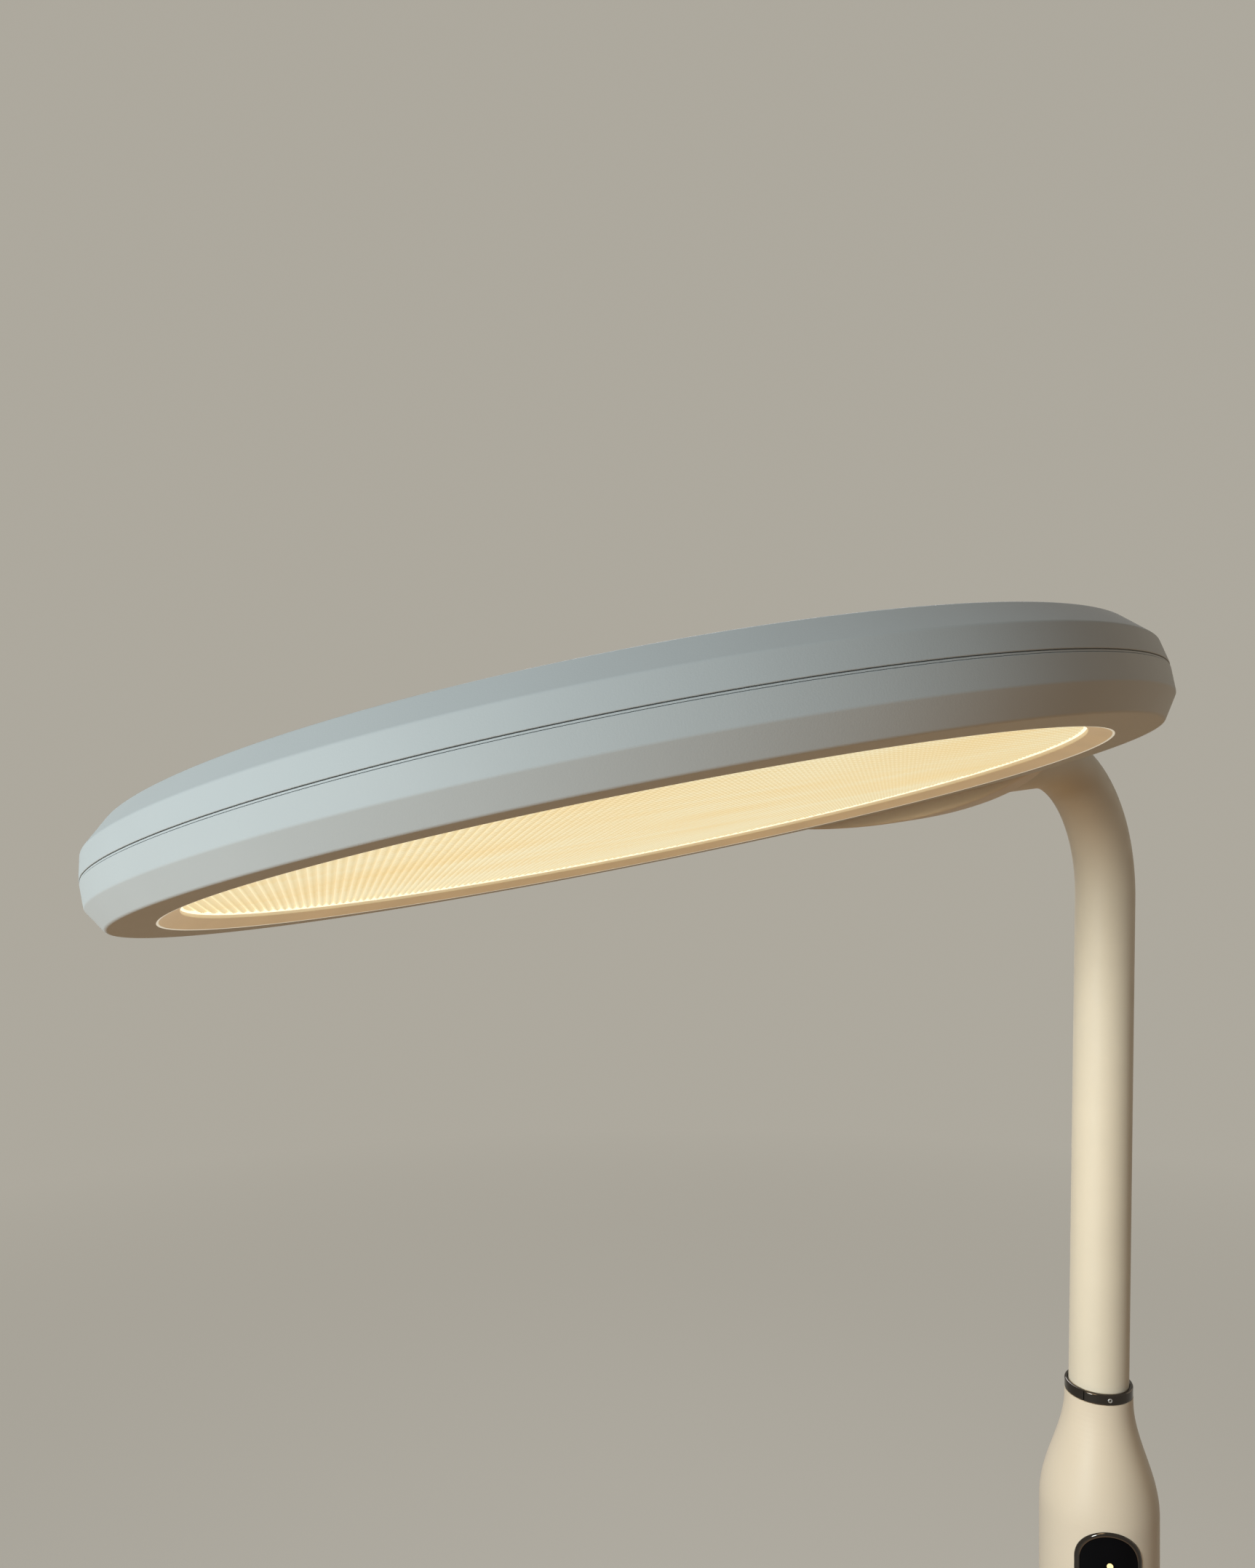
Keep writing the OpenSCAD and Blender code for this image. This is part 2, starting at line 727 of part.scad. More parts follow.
// Block on the driver board: size, and its middle's height on the board
module board_block(size, z) {
    translate([-size[0] / 2, board_y + board_t + fit_gap, housing_z + spigot_h + z - size[2] / 2]) cube(size);
}

// Transformer, two capacitors, controller and terminal on the driver board
module driver_components() color(rubber_black) {
    capacitor_r = 5;
    capacitor_h = 13;
    capacitor_x = 8;
    capacitor_z = 42;
    transformer = [18, 11, 17];
    transformer_z = 16.5;
    controller = [10, 3, 9];
    controller_z = 62.5;
    terminal = [12, 7, 6];
    terminal_z = 77;
    board_block(transformer, transformer_z);
    board_block(controller, controller_z);
    board_block(terminal, terminal_z);
    for (side = [-1, 1])
        translate([side * capacitor_x, board_y + board_t + fit_gap, housing_z + spigot_h + capacitor_z])
            rotate([-90, 0, 0]) cylinder(h = capacitor_h, r = capacitor_r);
}

module neck_foot() color(chrome_grey) {
    neck_plane() difference() {
        union() {
            translate([0, 0, -foot_depth]) cylinder(h = foot_depth + bar_lap, r = link_r);
            neck_bar(link_r - bar_step, link_r, 0, joint_t(1) + cup_lip);
        }
        at_neck(joint_t(1)) sphere(r = cup_r);
        translate([0, 0, -foot_depth - over]) cylinder(h = foot_depth + 2 * over, r = wire_bore_r + bar_step);
        neck_bar(wire_bore_r, wire_bore_r, 0, joint_t(1) + cup_lip);
    }
}

module neck_nut() color(steel_grey) {
    nut_t = 6;
    nut_rim = 3;
    room_r = shoulder_at(top_wall) - housing_wall - fit_gap;
    translate([0, 0, stand_h - top_wall - nut_t - fit_gap]) difference() {
        cylinder(h = nut_t, r = min(link_r + nut_rim, room_r), $fn = 6);
        translate([0, 0, -over]) cylinder(h = nut_t + 2 * over, r = link_r + fit_gap);
    }
}

module neck_ring() color(chrome_grey) {
    translate([0, 0, stand_h]) difference() {
        cylinder(h = ring_h, r = ring_d / 2);
        translate([0, 0, -over]) cylinder(h = ring_h + 2 * over, r = ring_bore_r);
        rotate([0, 0, ring_split_azimuth]) translate([0, -ring_split_w / 2, -over])
            cube([ring_d, ring_split_w, ring_h + 2 * over]);
        ring_screw_bar(ring_screw_r + fit_gap / 2, ring_d);
    }
}

// Radial bar of the ring's set screw, from the ring's bore to r_out
module ring_screw_bar(r, r_out) {
    rotate([0, 0, ring_screw_azimuth]) translate([ring_bore_r, 0, ring_h / 2]) rotate([0, 90, 0])
        cylinder(h = r_out - ring_bore_r, r = r);
}

module ring_screw() color(steel_grey) {
    translate([0, 0, stand_h]) ring_screw_bar(ring_screw_r, ring_d / 2 + ring_screw_out);
}

module neck_sleeve() color(ivory) {
    neck_plane() neck_sweep(sleeve_r, sleeve_r - sleeve_wall, sleeve_foot_t, neck_l - fit_gap, sleeve_sides);
}

module neck_wire() color(rubber_black) {
    wire_end_t = neck_l + end_collar_l + moving_gap + bracket_l + head_wall + wire_head_l;
    neck_plane() neck_sweep(wire_r, 0, -foot_depth - wire_tail_l, wire_end_t, wire_sides);
}

// One link of the neck: a ball below, a curved body, and a cup for the next ball
module neck_link(i) {
    t1 = joint_t(i);
    t2 = joint_t(i + 1);
    neck_plane() difference() {
        union() {
            at_neck(t1) sphere(r = ball_r);
            neck_bar(stem_r, stem_r, t1, t1 + shoulder_gap + bar_lap);
            neck_bar(link_r, link_r - bar_step, t1 + shoulder_gap, t2 + cup_lip);
        }
        at_neck(t2) sphere(r = cup_r);
        neck_bar(wire_bore_r, wire_bore_r + bar_step, t1 - cup_r, t2 + cup_r);
    }
}

module neck_link_1() color(steel_grey) neck_link(1);

module neck_link_2() color(steel_grey) neck_link(2);

module neck_link_3() color(steel_grey) neck_link(3);

module neck_link_4() color(steel_grey) neck_link(4);

module neck_link_5() color(steel_grey) neck_link(5);

module neck_link_6() color(steel_grey) {
    t1 = joint_t(link_count);
    neck_plane() difference() {
        union() {
            at_neck(t1) sphere(r = ball_r);
            neck_bar(stem_r, stem_r, t1, t1 + shoulder_gap + bar_lap);
            neck_bar(link_r, link_r - bar_step, t1 + shoulder_gap, neck_l - fit_gap);
        }
        neck_bar(wire_bore_r, wire_bore_r + bar_step, t1 - cup_r, neck_l + over);
    }
}

module neck_end_collar() color(ivory) {
    neck_plane() at_neck(neck_l) difference() {
        cylinder(h = end_collar_l, r = bracket_boss_r - collar_step);
        translate([0, 0, -over]) cylinder(h = end_collar_l + 2 * over, r = wire_bore_r);
    }
}

module swivel_spindle() color(steel_grey) {
    neck_plane() at_neck(neck_l + end_collar_l) difference() {
        cylinder(h = moving_gap + spindle_l, d = spindle_d);
        translate([0, 0, -over]) cylinder(h = moving_gap + spindle_l + 2 * over, r = wire_bore_r);
    }
}

module swivel_washer() color(chrome_grey) {
    neck_plane() at_neck(neck_l + end_collar_l + 2 * moving_gap + web_t) difference() {
        cylinder(h = washer_t, r = swivel_nut_r + washer_rim);
        translate([0, 0, -over]) cylinder(h = washer_t + 2 * over, d = spindle_d + 2 * fit_gap);
    }
}

module swivel_nut() color(steel_grey) {
    neck_plane() at_neck(neck_l + end_collar_l + 2 * moving_gap + web_t + washer_t + fit_gap) difference() {
        cylinder(h = swivel_nut_t, r = swivel_nut_r, $fn = 6);
        translate([0, 0, -over]) cylinder(h = swivel_nut_t + 2 * over, d = spindle_d + 2 * fit_gap);
    }
}

// Room of the head in the bracket, with the gap g round it, open below
module head_room(g) {
    chamfer_r = head_r - lower_band_in - lower_chamfer + g;
    rotate_extrude() polygon([
        [0, head_up + crown_h], [head_r - upper_band_in - upper_chamfer + g, head_up + crown_h],
        [head_r - upper_band_in - upper_chamfer + g, head_up + g],
        [head_r - upper_band_in + g, band_h + g / 2], [head_r + g, 0],
        [head_r - lower_band_in + g, -band_h - g / 2],
        [chamfer_r, -head_down - g], [chamfer_r, -keel_h - over], [0, -keel_h - over]
    ]);
}

// Crescent behind the rim, thin at its tips, with a boat-shaped keel and a crowned top
module bracket_saddle() {
    intersection() {
        translate([saddle_r - head_r - saddle_t, 0, -keel_h])
            cylinder(h = keel_h + crown_h, r = saddle_r);
        translate([0, 0, keel_r - keel_h]) head_bar(keel_r, bracket_end_x, 0);
        translate([0, 0, crown_h - crown_r]) head_bar(crown_r, bracket_end_x, 0);
        translate([bracket_end_x, -saddle_half, -keel_h]) cube([head_r, bracket_w, keel_h + crown_h]);
    }
}

module head_bracket() color(ivory) {
    boss_l = bracket_l + upper_band_in;
    head_frame() difference() {
        union() {
            bracket_saddle();
            translate([bracket_end_x, 0, 0]) rotate([0, 90, 0])
                cylinder(h = boss_l, r1 = bracket_boss_r, r2 = bracket_boss_end_r);
        }
        head_room(bracket_seat);
        head_bar(spindle_d / 2 + running_gap, bracket_end_x - over, web_x + over);
        head_bar(pocket_r, web_x, -head_r + head_wall);
        bracket_screw_bars(bracket_screw_r + fit_gap / 2, over);
    }
}

// Radial bars of the screws that hold the bracket, longer by extra at the head's inside
module bracket_screw_bars(r, extra) {
    turn = asin(bracket_screw_y / head_r);
    for (side = [-1, 1])
        rotate([0, 0, 180 - side * turn])
            translate([head_r - head_wall - extra - upper_band_in, 0, bracket_screw_z])
                rotate([0, 90, 0]) cylinder(h = bracket_screw_l + extra, r = r);
}

module bracket_screws() color(steel_grey) {
    turn = asin(bracket_screw_y / head_r);
    screw_head_t = 1.4;
    screw_head_r = bracket_screw_r + 1;
    head_frame() {
        bracket_screw_bars(bracket_screw_r, 0);
        for (side = [-1, 1])
            rotate([0, 0, 180 - side * turn])
                translate([head_r - head_wall - upper_band_in - screw_head_t, 0, bracket_screw_z])
                    rotate([0, 90, 0]) cylinder(h = screw_head_t, r = screw_head_r);
    }
}

module head_upper_shell() color(shell_white) {
    chamfer_r = head_r - upper_band_in - upper_chamfer;
    inside_r = head_r - upper_band_in - head_wall;
    head_frame() difference() {
        union() {
            rotate_extrude() polygon([
                [head_r, seam_t / 2], [head_r - upper_band_in, band_h], [chamfer_r, head_up], [0, head_up],
                [0, head_up - head_wall], [chamfer_r - wall_lean, head_up - head_wall],
                [inside_r, band_h - wall_lean], [inside_r, seam_t / 2]
            ]);
            around(head_screw_count, head_screw_circle_r, 180 / head_screw_count)
                translate([0, 0, back_plate_z + back_plate_t + fit_gap])
                    cylinder(h = head_up - back_plate_z - back_plate_t - head_wall / 2 - fit_gap, r = boss_r);
        }
        around(head_screw_count, head_screw_circle_r, 180 / head_screw_count)
            translate([0, 0, back_plate_z]) cylinder(h = head_screw_l, r = head_screw_r + fit_gap);
        head_bar(rim_hole_r, -head_r - over, -head_r + rim_hole_l);
        bracket_screw_bars(bracket_screw_r + fit_gap, screw_way);
    }
}

module head_seam_ring() color("#b9bcbe") {
    head_frame() difference() {
        translate([0, 0, -seam_t / 2]) cylinder(h = seam_t, r = head_r - seam_in);
        translate([0, 0, -seam_t / 2 - over]) cylinder(h = seam_t + 2 * over, r = head_r - seam_in - seam_w);
        head_bar(rim_hole_r, -head_r - over, -head_r + rim_hole_l);
    }
}

module head_lower_shell() color(shell_white) {
    aperture_r = aperture_d / 2;
    chamfer_r = head_r - lower_band_in - lower_chamfer;
    inside_r = head_r - lower_band_in - head_wall;
    head_frame() difference() {
        rotate_extrude() polygon([
            [head_r, -seam_t / 2], [head_r - lower_band_in, -band_h], [chamfer_r, -head_down],
            [aperture_r, -head_down], [lip_r, -head_down + bevel_h], [lip_r, diffuser_z],
            [chamfer_r - wall_lean, diffuser_z], [inside_r, -band_h + wall_lean], [inside_r, -seam_t / 2]
        ]);
        head_bar(rim_hole_r, -head_r - over, -head_r + rim_hole_l);
    }
}

// Flat disc of the light stack, from z up by t
module stack_disc(z, t, r) {
    head_frame() translate([0, 0, z]) cylinder(h = t, r = r);
}

module diffuser() color(glow) {
    stack_disc(diffuser_z, diffuser_t, stack_r);
}

module light_guide() color("#fff6da") {
    stack_disc(guide_z, guide_t, stack_r);
}

module reflector_sheet() color(shell_white) {
    stack_disc(reflector_z, reflector_t, stack_r);
}

module back_plate() color(steel_grey) {
    head_frame() translate([0, 0, back_plate_z]) difference() {
        cylinder(h = back_plate_t, r = strip_r + strip_t);
        around(head_screw_count, head_screw_circle_r, 180 / head_screw_count)
            translate([0, 0, -over]) cylinder(h = back_plate_t + 2 * over, r = head_screw_r + fit_gap);
    }
}

module led_strip() color("#f2f2ee") {
    head_frame() translate([0, 0, diffuser_z]) difference() {
        cylinder(h = back_plate_z - diffuser_z - fit_gap, r = strip_r + strip_t);
        translate([0, 0, -over]) cylinder(h = back_plate_z - diffuser_z + 2 * over, r = strip_r);
    }
}

module leds() color(glow) {
    head_frame() around(led_count, stack_r + led_gap, led_start)
        translate([0, -led_w / 2, guide_z]) cube([led_t - led_seat, led_w, guide_t]);
}

module head_screws() color(steel_grey) {
    tip_gap = 0.4;
    head_frame() around(head_screw_count, head_screw_circle_r, 180 / head_screw_count)
        translate([0, 0, back_plate_z]) cylinder(h = head_screw_l - tip_gap, r = head_screw_r);
}

base_cover();
base_weight();
base_plate();
base_pad();
base_screws();
cord_gland();
pole_stud();
pole_stud_nut();
pole_foot_plug();
pole_collar();
pole_lower();
pole_coupling();
pole_upper();
housing_tail();
control_housing();
housing_screws();
panel_bezel();
touch_panel();
panel_icons();
panel_light_box();
touch_board();
driver_board();
driver_components();
neck_foot();
neck_nut();
neck_ring();
ring_screw();
neck_sleeve();
neck_wire();
neck_link_1();
neck_link_2();
neck_link_3();
neck_link_4();
neck_link_5();
neck_link_6();
neck_end_collar();
swivel_spindle();
swivel_washer();
swivel_nut();
head_bracket();
bracket_screws();
head_upper_shell();
head_seam_ring();
head_lower_shell();
diffuser();
light_guide();
reflector_sheet();
back_plate();
led_strip();
leds();
head_screws();
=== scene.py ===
import json
import math

import bmesh
import bpy
from mathutils import Matrix, Vector


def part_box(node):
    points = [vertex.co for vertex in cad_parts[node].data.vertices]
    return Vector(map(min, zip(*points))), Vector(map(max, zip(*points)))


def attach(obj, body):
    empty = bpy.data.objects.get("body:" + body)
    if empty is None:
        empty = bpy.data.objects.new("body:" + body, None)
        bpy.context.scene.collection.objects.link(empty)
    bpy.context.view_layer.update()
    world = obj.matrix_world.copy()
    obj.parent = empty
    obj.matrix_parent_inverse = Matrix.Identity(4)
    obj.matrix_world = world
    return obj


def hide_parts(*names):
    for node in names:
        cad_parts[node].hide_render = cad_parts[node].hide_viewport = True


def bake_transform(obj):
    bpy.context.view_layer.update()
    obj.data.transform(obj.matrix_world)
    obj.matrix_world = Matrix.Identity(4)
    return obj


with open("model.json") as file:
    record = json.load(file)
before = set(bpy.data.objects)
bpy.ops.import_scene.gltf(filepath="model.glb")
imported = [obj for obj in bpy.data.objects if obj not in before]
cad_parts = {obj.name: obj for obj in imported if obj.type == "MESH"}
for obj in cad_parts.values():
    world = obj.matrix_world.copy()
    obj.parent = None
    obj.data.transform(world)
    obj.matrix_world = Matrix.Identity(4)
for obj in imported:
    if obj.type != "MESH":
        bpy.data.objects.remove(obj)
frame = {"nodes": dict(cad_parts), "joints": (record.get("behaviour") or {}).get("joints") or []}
nodes = frame["nodes"]
joints = {joint["name"]: joint for joint in frame["joints"]}
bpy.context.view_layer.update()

MM = 0.001

# Camera of the photograph, held level: image in pixels, sensor in millimetres, place in metres
IMAGE_HEIGHT_PX = 2156
FOCAL_PX = 1700
SENSOR = 36.0
CAMERA_PLACE = Vector((-0.1086, -0.5948, 1.2769))
CAMERA_LEVEL = math.radians(90)
CAMERA_TURN = math.radians(10.5)
CLIP_START = 0.01

# Meshes: merging distance in metres, angle in degrees from which an edge stays sharp, steps of a rounding
MERGE_DISTANCE = 1e-7
SHARP_ANGLE = 35
FILLET_STEPS = 5
FINE_FILLET_STEPS = 3

# Neck path in its own plane: a leaning upright, one bend, a short straight end
NECK_LEAN = math.radians(1.6)
NECK_RISE = 224.4 * MM
NECK_BEND_R = 62 * MM
NECK_BEND = math.radians(95.4)
NECK_ARC = NECK_BEND_R * NECK_BEND
NECK_END_GAP = 0.1 * MM
NECK_SEARCH_STEPS = 800
NECK_JOINTS = ["neck_bend", "neck_sway", "neck_bend_2", "neck_sway_2", "neck_bend_3", "neck_bend_4"]

# Sleeve and supply wire along the neck path
FEWEST_STEPS = 2
SLEEVE_R = 13 * MM
SLEEVE_WALL = 2.5 * MM
SLEEVE_SIDES = 64
SLEEVE_STEP = 2.4 * MM
SLEEVE_SHARP_ANGLE = 50
SLEEVE_FOOT_GAP = NECK_END_GAP + SLEEVE_R * math.sin(NECK_LEAN)
WIRE_R = 1.8 * MM
WIRE_SIDES = 12
WIRE_STEP = 4 * MM
WIRE_START = -40 * MM

# Ring at the neck's foot, split at one side, and the set screw in it
RING_WALL = 1.4 * MM
RING_EDGE = 0.65 * MM
RING_INNER_EDGE = 0.1 * MM
RING_SPLIT_AT = math.radians(235)
RING_SPLIT_W = 0.4 * MM
RING_SEGMENTS = 160
SCREW_R = 1 * MM
SCREW_LENGTH = 1.3 * MM
SCREW_OUT = 0.2 * MM
SCREW_EDGE = 0.2 * MM
SCREW_SEGMENTS = 48
SOCKET_R = 0.45 * MM
SOCKET_DEPTH = 0.6 * MM
SOCKET_EDGE = 0.1 * MM

# Touch panel: its bezel and the windows of its symbols
BEZEL_W = 2 * MM
BEZEL_DEPTH = 2 * MM
BEZEL_FLANK_OUT = 0.1 * MM
BEZEL_CREST_STEPS = 8
BEZEL_ARC_STEPS = 40
WINDOW_DEPTH = 2 * MM
WINDOW_SIDES = 36

# Symbols: SYMBOL_SHARE is a share of the window's radius, the bulb's and the power sign's values are
# shares of the symbol's size, and arcs run between two angles in degrees
SYMBOL_SHARE = 0.75
SYMBOL_RISE = 0.12 * MM
SYMBOL_STROKE = 0.55 * MM
SYMBOL_ARC_STEPS = 32
BAR_STEPS = 6
BAR_END_STEPS = 8
BULB_UP = 0.3
BULB_R = 0.8
BULB_ARC = (-55, 235)
BULB_BAR_H = 0.22
BULB_BARS_UP = (-0.62, -0.95)
BULB_BARS_W = (0.7, 0.5)
POWER_R = 0.85
POWER_ARC = (125, 415)
POWER_BAR_UP = 0.55

# Head outline in its own frame: x away from the neck, z up from the seam
HEAD_ROLL = math.radians(12.5)
HEAD_R = 150 * MM
HEAD_UP = 12.6 * MM
HEAD_DOWN = 12.6 * MM
HEAD_WALL = 2.4 * MM
WALL_LEAN = 0.45 * HEAD_WALL
HEAD_SEGMENTS = 288
BAND_H = 6.5 * MM
UPPER_BAND_IN = 1 * MM
UPPER_CHAMFER = 6 * MM
LOWER_BAND_IN = 0.2 * MM
LOWER_CHAMFER = 4 * MM
UPPER_BAND_R = HEAD_R - UPPER_BAND_IN
UPPER_FLAT_R = UPPER_BAND_R - UPPER_CHAMFER
LOWER_BAND_R = HEAD_R - LOWER_BAND_IN
LOWER_FLAT_R = LOWER_BAND_R - LOWER_CHAMFER
EDGE_ROUND = 1.2 * MM
FINE_EDGE = 0.2 * MM

# Seam between the shells, with a ring in it
SEAM_HALF = 0.36 * MM
SEAM_RING_LOW = -0.25 * MM
SEAM_RING_HIGH = 0.16 * MM
SEAM_RING_IN = 0.2 * MM
SEAM_RING_R = HEAD_R - SEAM_RING_IN
SEAM_RING_W = 3 * MM
SEAM_RING_EDGE = 0.08 * MM

# Light opening: a bevel that ends in a lip, on which the diffuser rests
APERTURE_R = 133.5 * MM
BEVEL_W = 5.8 * MM
BEVEL_H = 2.3 * MM
BEVEL_ROUND = 1.6 * MM
BEVEL_EDGE_HALF = 0.32 * MM
BEVEL_MARGIN = 1 * MM
LIP_T = 1.2 * MM
LIP_ROUND = 0.3 * MM
LIP_R = APERTURE_R - BEVEL_W
LIP_LOW = -HEAD_DOWN + BEVEL_H
LIP_TOP = LIP_LOW + LIP_T

# Prismatic diffuser: rows of small pyramids inside a plain rim, with a share of pale light for each facet
DIFFUSER_R = 140 * MM
DIFFUSER_T = 2 * MM
DIFFUSER_RIM_W = 0.7 * MM
DIFFUSER_RIM_R = LIP_R - DIFFUSER_RIM_W
PRISM_PITCH = 2.42 * MM
PRISM_DEPTH = 0.5 * MM
PRISM_SINK = 0.05 * MM
PRISM_TURN = math.radians(62)
FACET_SHARES = (0.95, 0.6, 0.2, 0.45)

# Bracket, softened like a moulding: its boss runs on to the head's chamfer, its edges go a little way in
BRACKET_VOXEL = 0.5 * MM
BRACKET_SOFTEN_SHARE = 0.5
BRACKET_SOFTEN_TIMES = 24
BRACKET_SHARP_ANGLE = 60
BOSS_END_X = (-152 * MM, -143 * MM)
BOSS_END_R = (12.4 * MM, 11.9 * MM)
BOSS_HOLE_R = 4.5 * MM
BOSS_SIDES = 64
PRESS_DEPTH = 0.7 * MM
PRESS_REACH = 1.2 * MM


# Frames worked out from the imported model

def middle(node):
    low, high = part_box(node)
    return (low + high) / 2


def half_width(node):
    low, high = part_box(node)
    return (high.x - low.x) / 2


# The neck's end points along arm, whose level part is neck_out; neck_side lies across the neck's plane
arm = Vector(joints["head_swivel"]["axis"]).normalized()
neck_end = Vector(joints["head_swivel"]["pos_m"])
neck_side = Vector((-arm.y, arm.x, 0)).normalized()
neck_out = Vector((arm.x, arm.y, 0)).normalized()
neck_foot = Vector((0, 0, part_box("neck_ring")[0].z))
head_axes = Matrix((arm, neck_side, arm.cross(neck_side))).transposed().to_4x4()
head_roll = Matrix.Rotation(HEAD_ROLL, 4, "X")
head_matrix = Matrix.Translation(middle("head_seam_ring")) @ head_axes @ head_roll


# Mesh helpers

def new_object(name, data):
    piece = bpy.data.objects.new(name, data)
    bpy.context.scene.collection.objects.link(piece)
    return piece


def smooth(mesh, angle):
    """Shade smoothly, apart from edges that turn by more than an angle in degrees."""
    mesh.polygons.foreach_set("use_smooth", [True] * len(mesh.polygons))
    mesh.set_sharp_from_angle(angle=math.radians(angle))
    mesh.update()


def mesh_from(name, points, faces, sharp_angle=SHARP_ANGLE):
    mesh = bpy.data.meshes.new(name)
    mesh.from_pydata(points, [], faces)
    work = bmesh.new()
    work.from_mesh(mesh)
    bmesh.ops.remove_doubles(work, verts=work.verts, dist=MERGE_DISTANCE)
    bmesh.ops.recalc_face_normals(work, faces=work.faces)
    work.to_mesh(mesh)
    work.free()
    smooth(mesh, sharp_angle)
    return mesh


def full_turn(count):
    """Angles at even steps all the way round."""
    return [2 * math.pi * k / count for k in range(count)]


def loft_faces(rows, row_length, closed):
    """Quads between rows of points; an open loft gets a cap at both ends."""
    faces = []
    for i in range(rows if closed else rows - 1):
        first, second = i * row_length, (i + 1) % rows * row_length
        for k in range(row_length):
            n = (k + 1) % row_length
            faces.append((first + k, first + n, second + n, second + k))
    if not closed:
        faces.append(tuple(range(row_length)))
        faces.append(tuple(range((rows - 1) * row_length, rows * row_length)))
    return faces


def loft(name, rows, closed=True):
    """Solid through rows of points, each row a closed outline."""
    points = [point for row in rows for point in row]
    faces = loft_faces(len(rows), len(rows[0]), closed)
    piece = new_object(name, mesh_from(name, points, faces))
    normals = piece.modifiers.new("weighted normals", "WEIGHTED_NORMAL")
    normals.keep_sharp = True
    return piece


def fillet(points, radii, steps=FILLET_STEPS):
    """Closed outline with its corners rounded: one radius per point, 0 keeps the corner."""
    outline = []
    for i, (corner, radius) in enumerate(zip(points, radii)):
        here = Vector(corner)
        before = (Vector(points[i - 1]) - here).normalized()
        after = (Vector(points[(i + 1) % len(points)]) - here).normalized()
        if radius <= 0:
            outline.append(tuple(here))
            continue
        half = before.angle(after) / 2
        reach = radius / math.tan(half)
        centre = here + (before + after).normalized() * (radius / math.sin(half))
        first = here + before * reach - centre
        last = here + after * reach - centre
        turn = first.angle_signed(last)
        for k in range(steps + 1):
            spoke = first.copy()
            spoke.rotate(Matrix.Rotation(-turn * k / steps, 2))
            outline.append(tuple(centre + spoke))
    return outline


def lathe(name, outline, matrix, segments=HEAD_SEGMENTS, start=0.0, sweep=2 * math.pi):
    """Solid of revolution about z from a closed outline of (radius, height)."""
    closed = sweep >= 2 * math.pi
    rows = []
    for k in range(segments if closed else segments + 1):
        a = start + sweep * k / segments
        rows.append([matrix @ Vector((r * math.cos(a), r * math.sin(a), h)) for r, h in outline])
    return loft(name, rows, closed)


# Shader node helpers; most of a noise texture lies between NOISE_LOW and NOISE_HIGH

NOISE_LOW = 0.3
NOISE_HIGH = 0.7


def node_material(name):
    material = bpy.data.materials.new(name)
    material.use_nodes = True
    return material, material.node_tree, material.node_tree.nodes["Principled BSDF"]


def stretched(tree, vector, stretch):
    mapping = tree.nodes.new("ShaderNodeMapping")
    mapping.inputs["Scale"].default_value = stretch
    tree.links.new(vector, mapping.inputs["Vector"])
    return mapping.outputs["Vector"]


def object_coordinates(tree, stretch=(1, 1, 1)):
    coordinates = tree.nodes.new("ShaderNodeTexCoord")
    return stretched(tree, coordinates.outputs["Object"], stretch)


def attribute(tree, name):
    node = tree.nodes.new("ShaderNodeAttribute")
    node.attribute_name = name
    return node


def noise(tree, vector, scale, detail=3.0, roughness=0.5):
    texture = tree.nodes.new("ShaderNodeTexNoise")
    texture.inputs["Scale"].default_value = scale
    texture.inputs["Detail"].default_value = detail
    texture.inputs["Roughness"].default_value = roughness
    tree.links.new(vector, texture.inputs["Vector"])
    return texture.outputs["Fac"]


def spread(tree, value, low, high, from_low=NOISE_LOW, from_high=NOISE_HIGH):
    ranged = tree.nodes.new("ShaderNodeMapRange")
    ranged.inputs["From Min"].default_value = from_low
    ranged.inputs["From Max"].default_value = from_high
    ranged.inputs["To Min"].default_value = low
    ranged.inputs["To Max"].default_value = high
    tree.links.new(value, ranged.inputs["Value"])
    return ranged.outputs["Result"]


def combined(tree, operation, first, second):
    node = tree.nodes.new("ShaderNodeMath")
    node.operation = operation
    tree.links.new(first, node.inputs[0])
    tree.links.new(second, node.inputs[1])
    return node.outputs["Value"]


def between(tree, value, first, second):
    mix = tree.nodes.new("ShaderNodeMix")
    mix.data_type = "RGBA"
    mix.inputs["A"].default_value = (*first, 1)
    mix.inputs["B"].default_value = (*second, 1)
    tree.links.new(value, mix.inputs["Factor"])
    return mix.outputs["Result"]


def bump(tree, height, strength, distance):
    node = tree.nodes.new("ShaderNodeBump")
    node.inputs["Strength"].default_value = strength
    node.inputs["Distance"].default_value = distance
    tree.links.new(height, node.inputs["Height"])
    return node.outputs["Normal"]


# Moulded, painted and metal finishes

MOTTLE_SCALE = 40
SMUDGE_SCALE = 2.3 * MOTTLE_SCALE
GRAIN_HEIGHT = 0.2 * MM

HEAD_WHITE = (0.69, 0.715, 0.72)
IVORY = (0.76, 0.705, 0.60)
CREAM = (0.76, 0.685, 0.58)
# Chrome tone: a metal whose base is darkened as a painted reflection of a dark room
CHROME_WITH_PAINTED_DARK_REFLECTION = (0.075, 0.066, 0.06)
ZINC = (0.50, 0.51, 0.53)
IRON_GREY = (0.09, 0.09, 0.095)
RUBBER_BLACK = (0.022, 0.022, 0.023)
ALUMINIUM_GREY = (0.72, 0.73, 0.74)
BOARD_GREEN = (0.035, 0.16, 0.075)
PARTS_BLACK = (0.02, 0.02, 0.022)
GLASS_BLACK = (0.003, 0.003, 0.004)
CLEAR = (0.93, 0.94, 0.92)


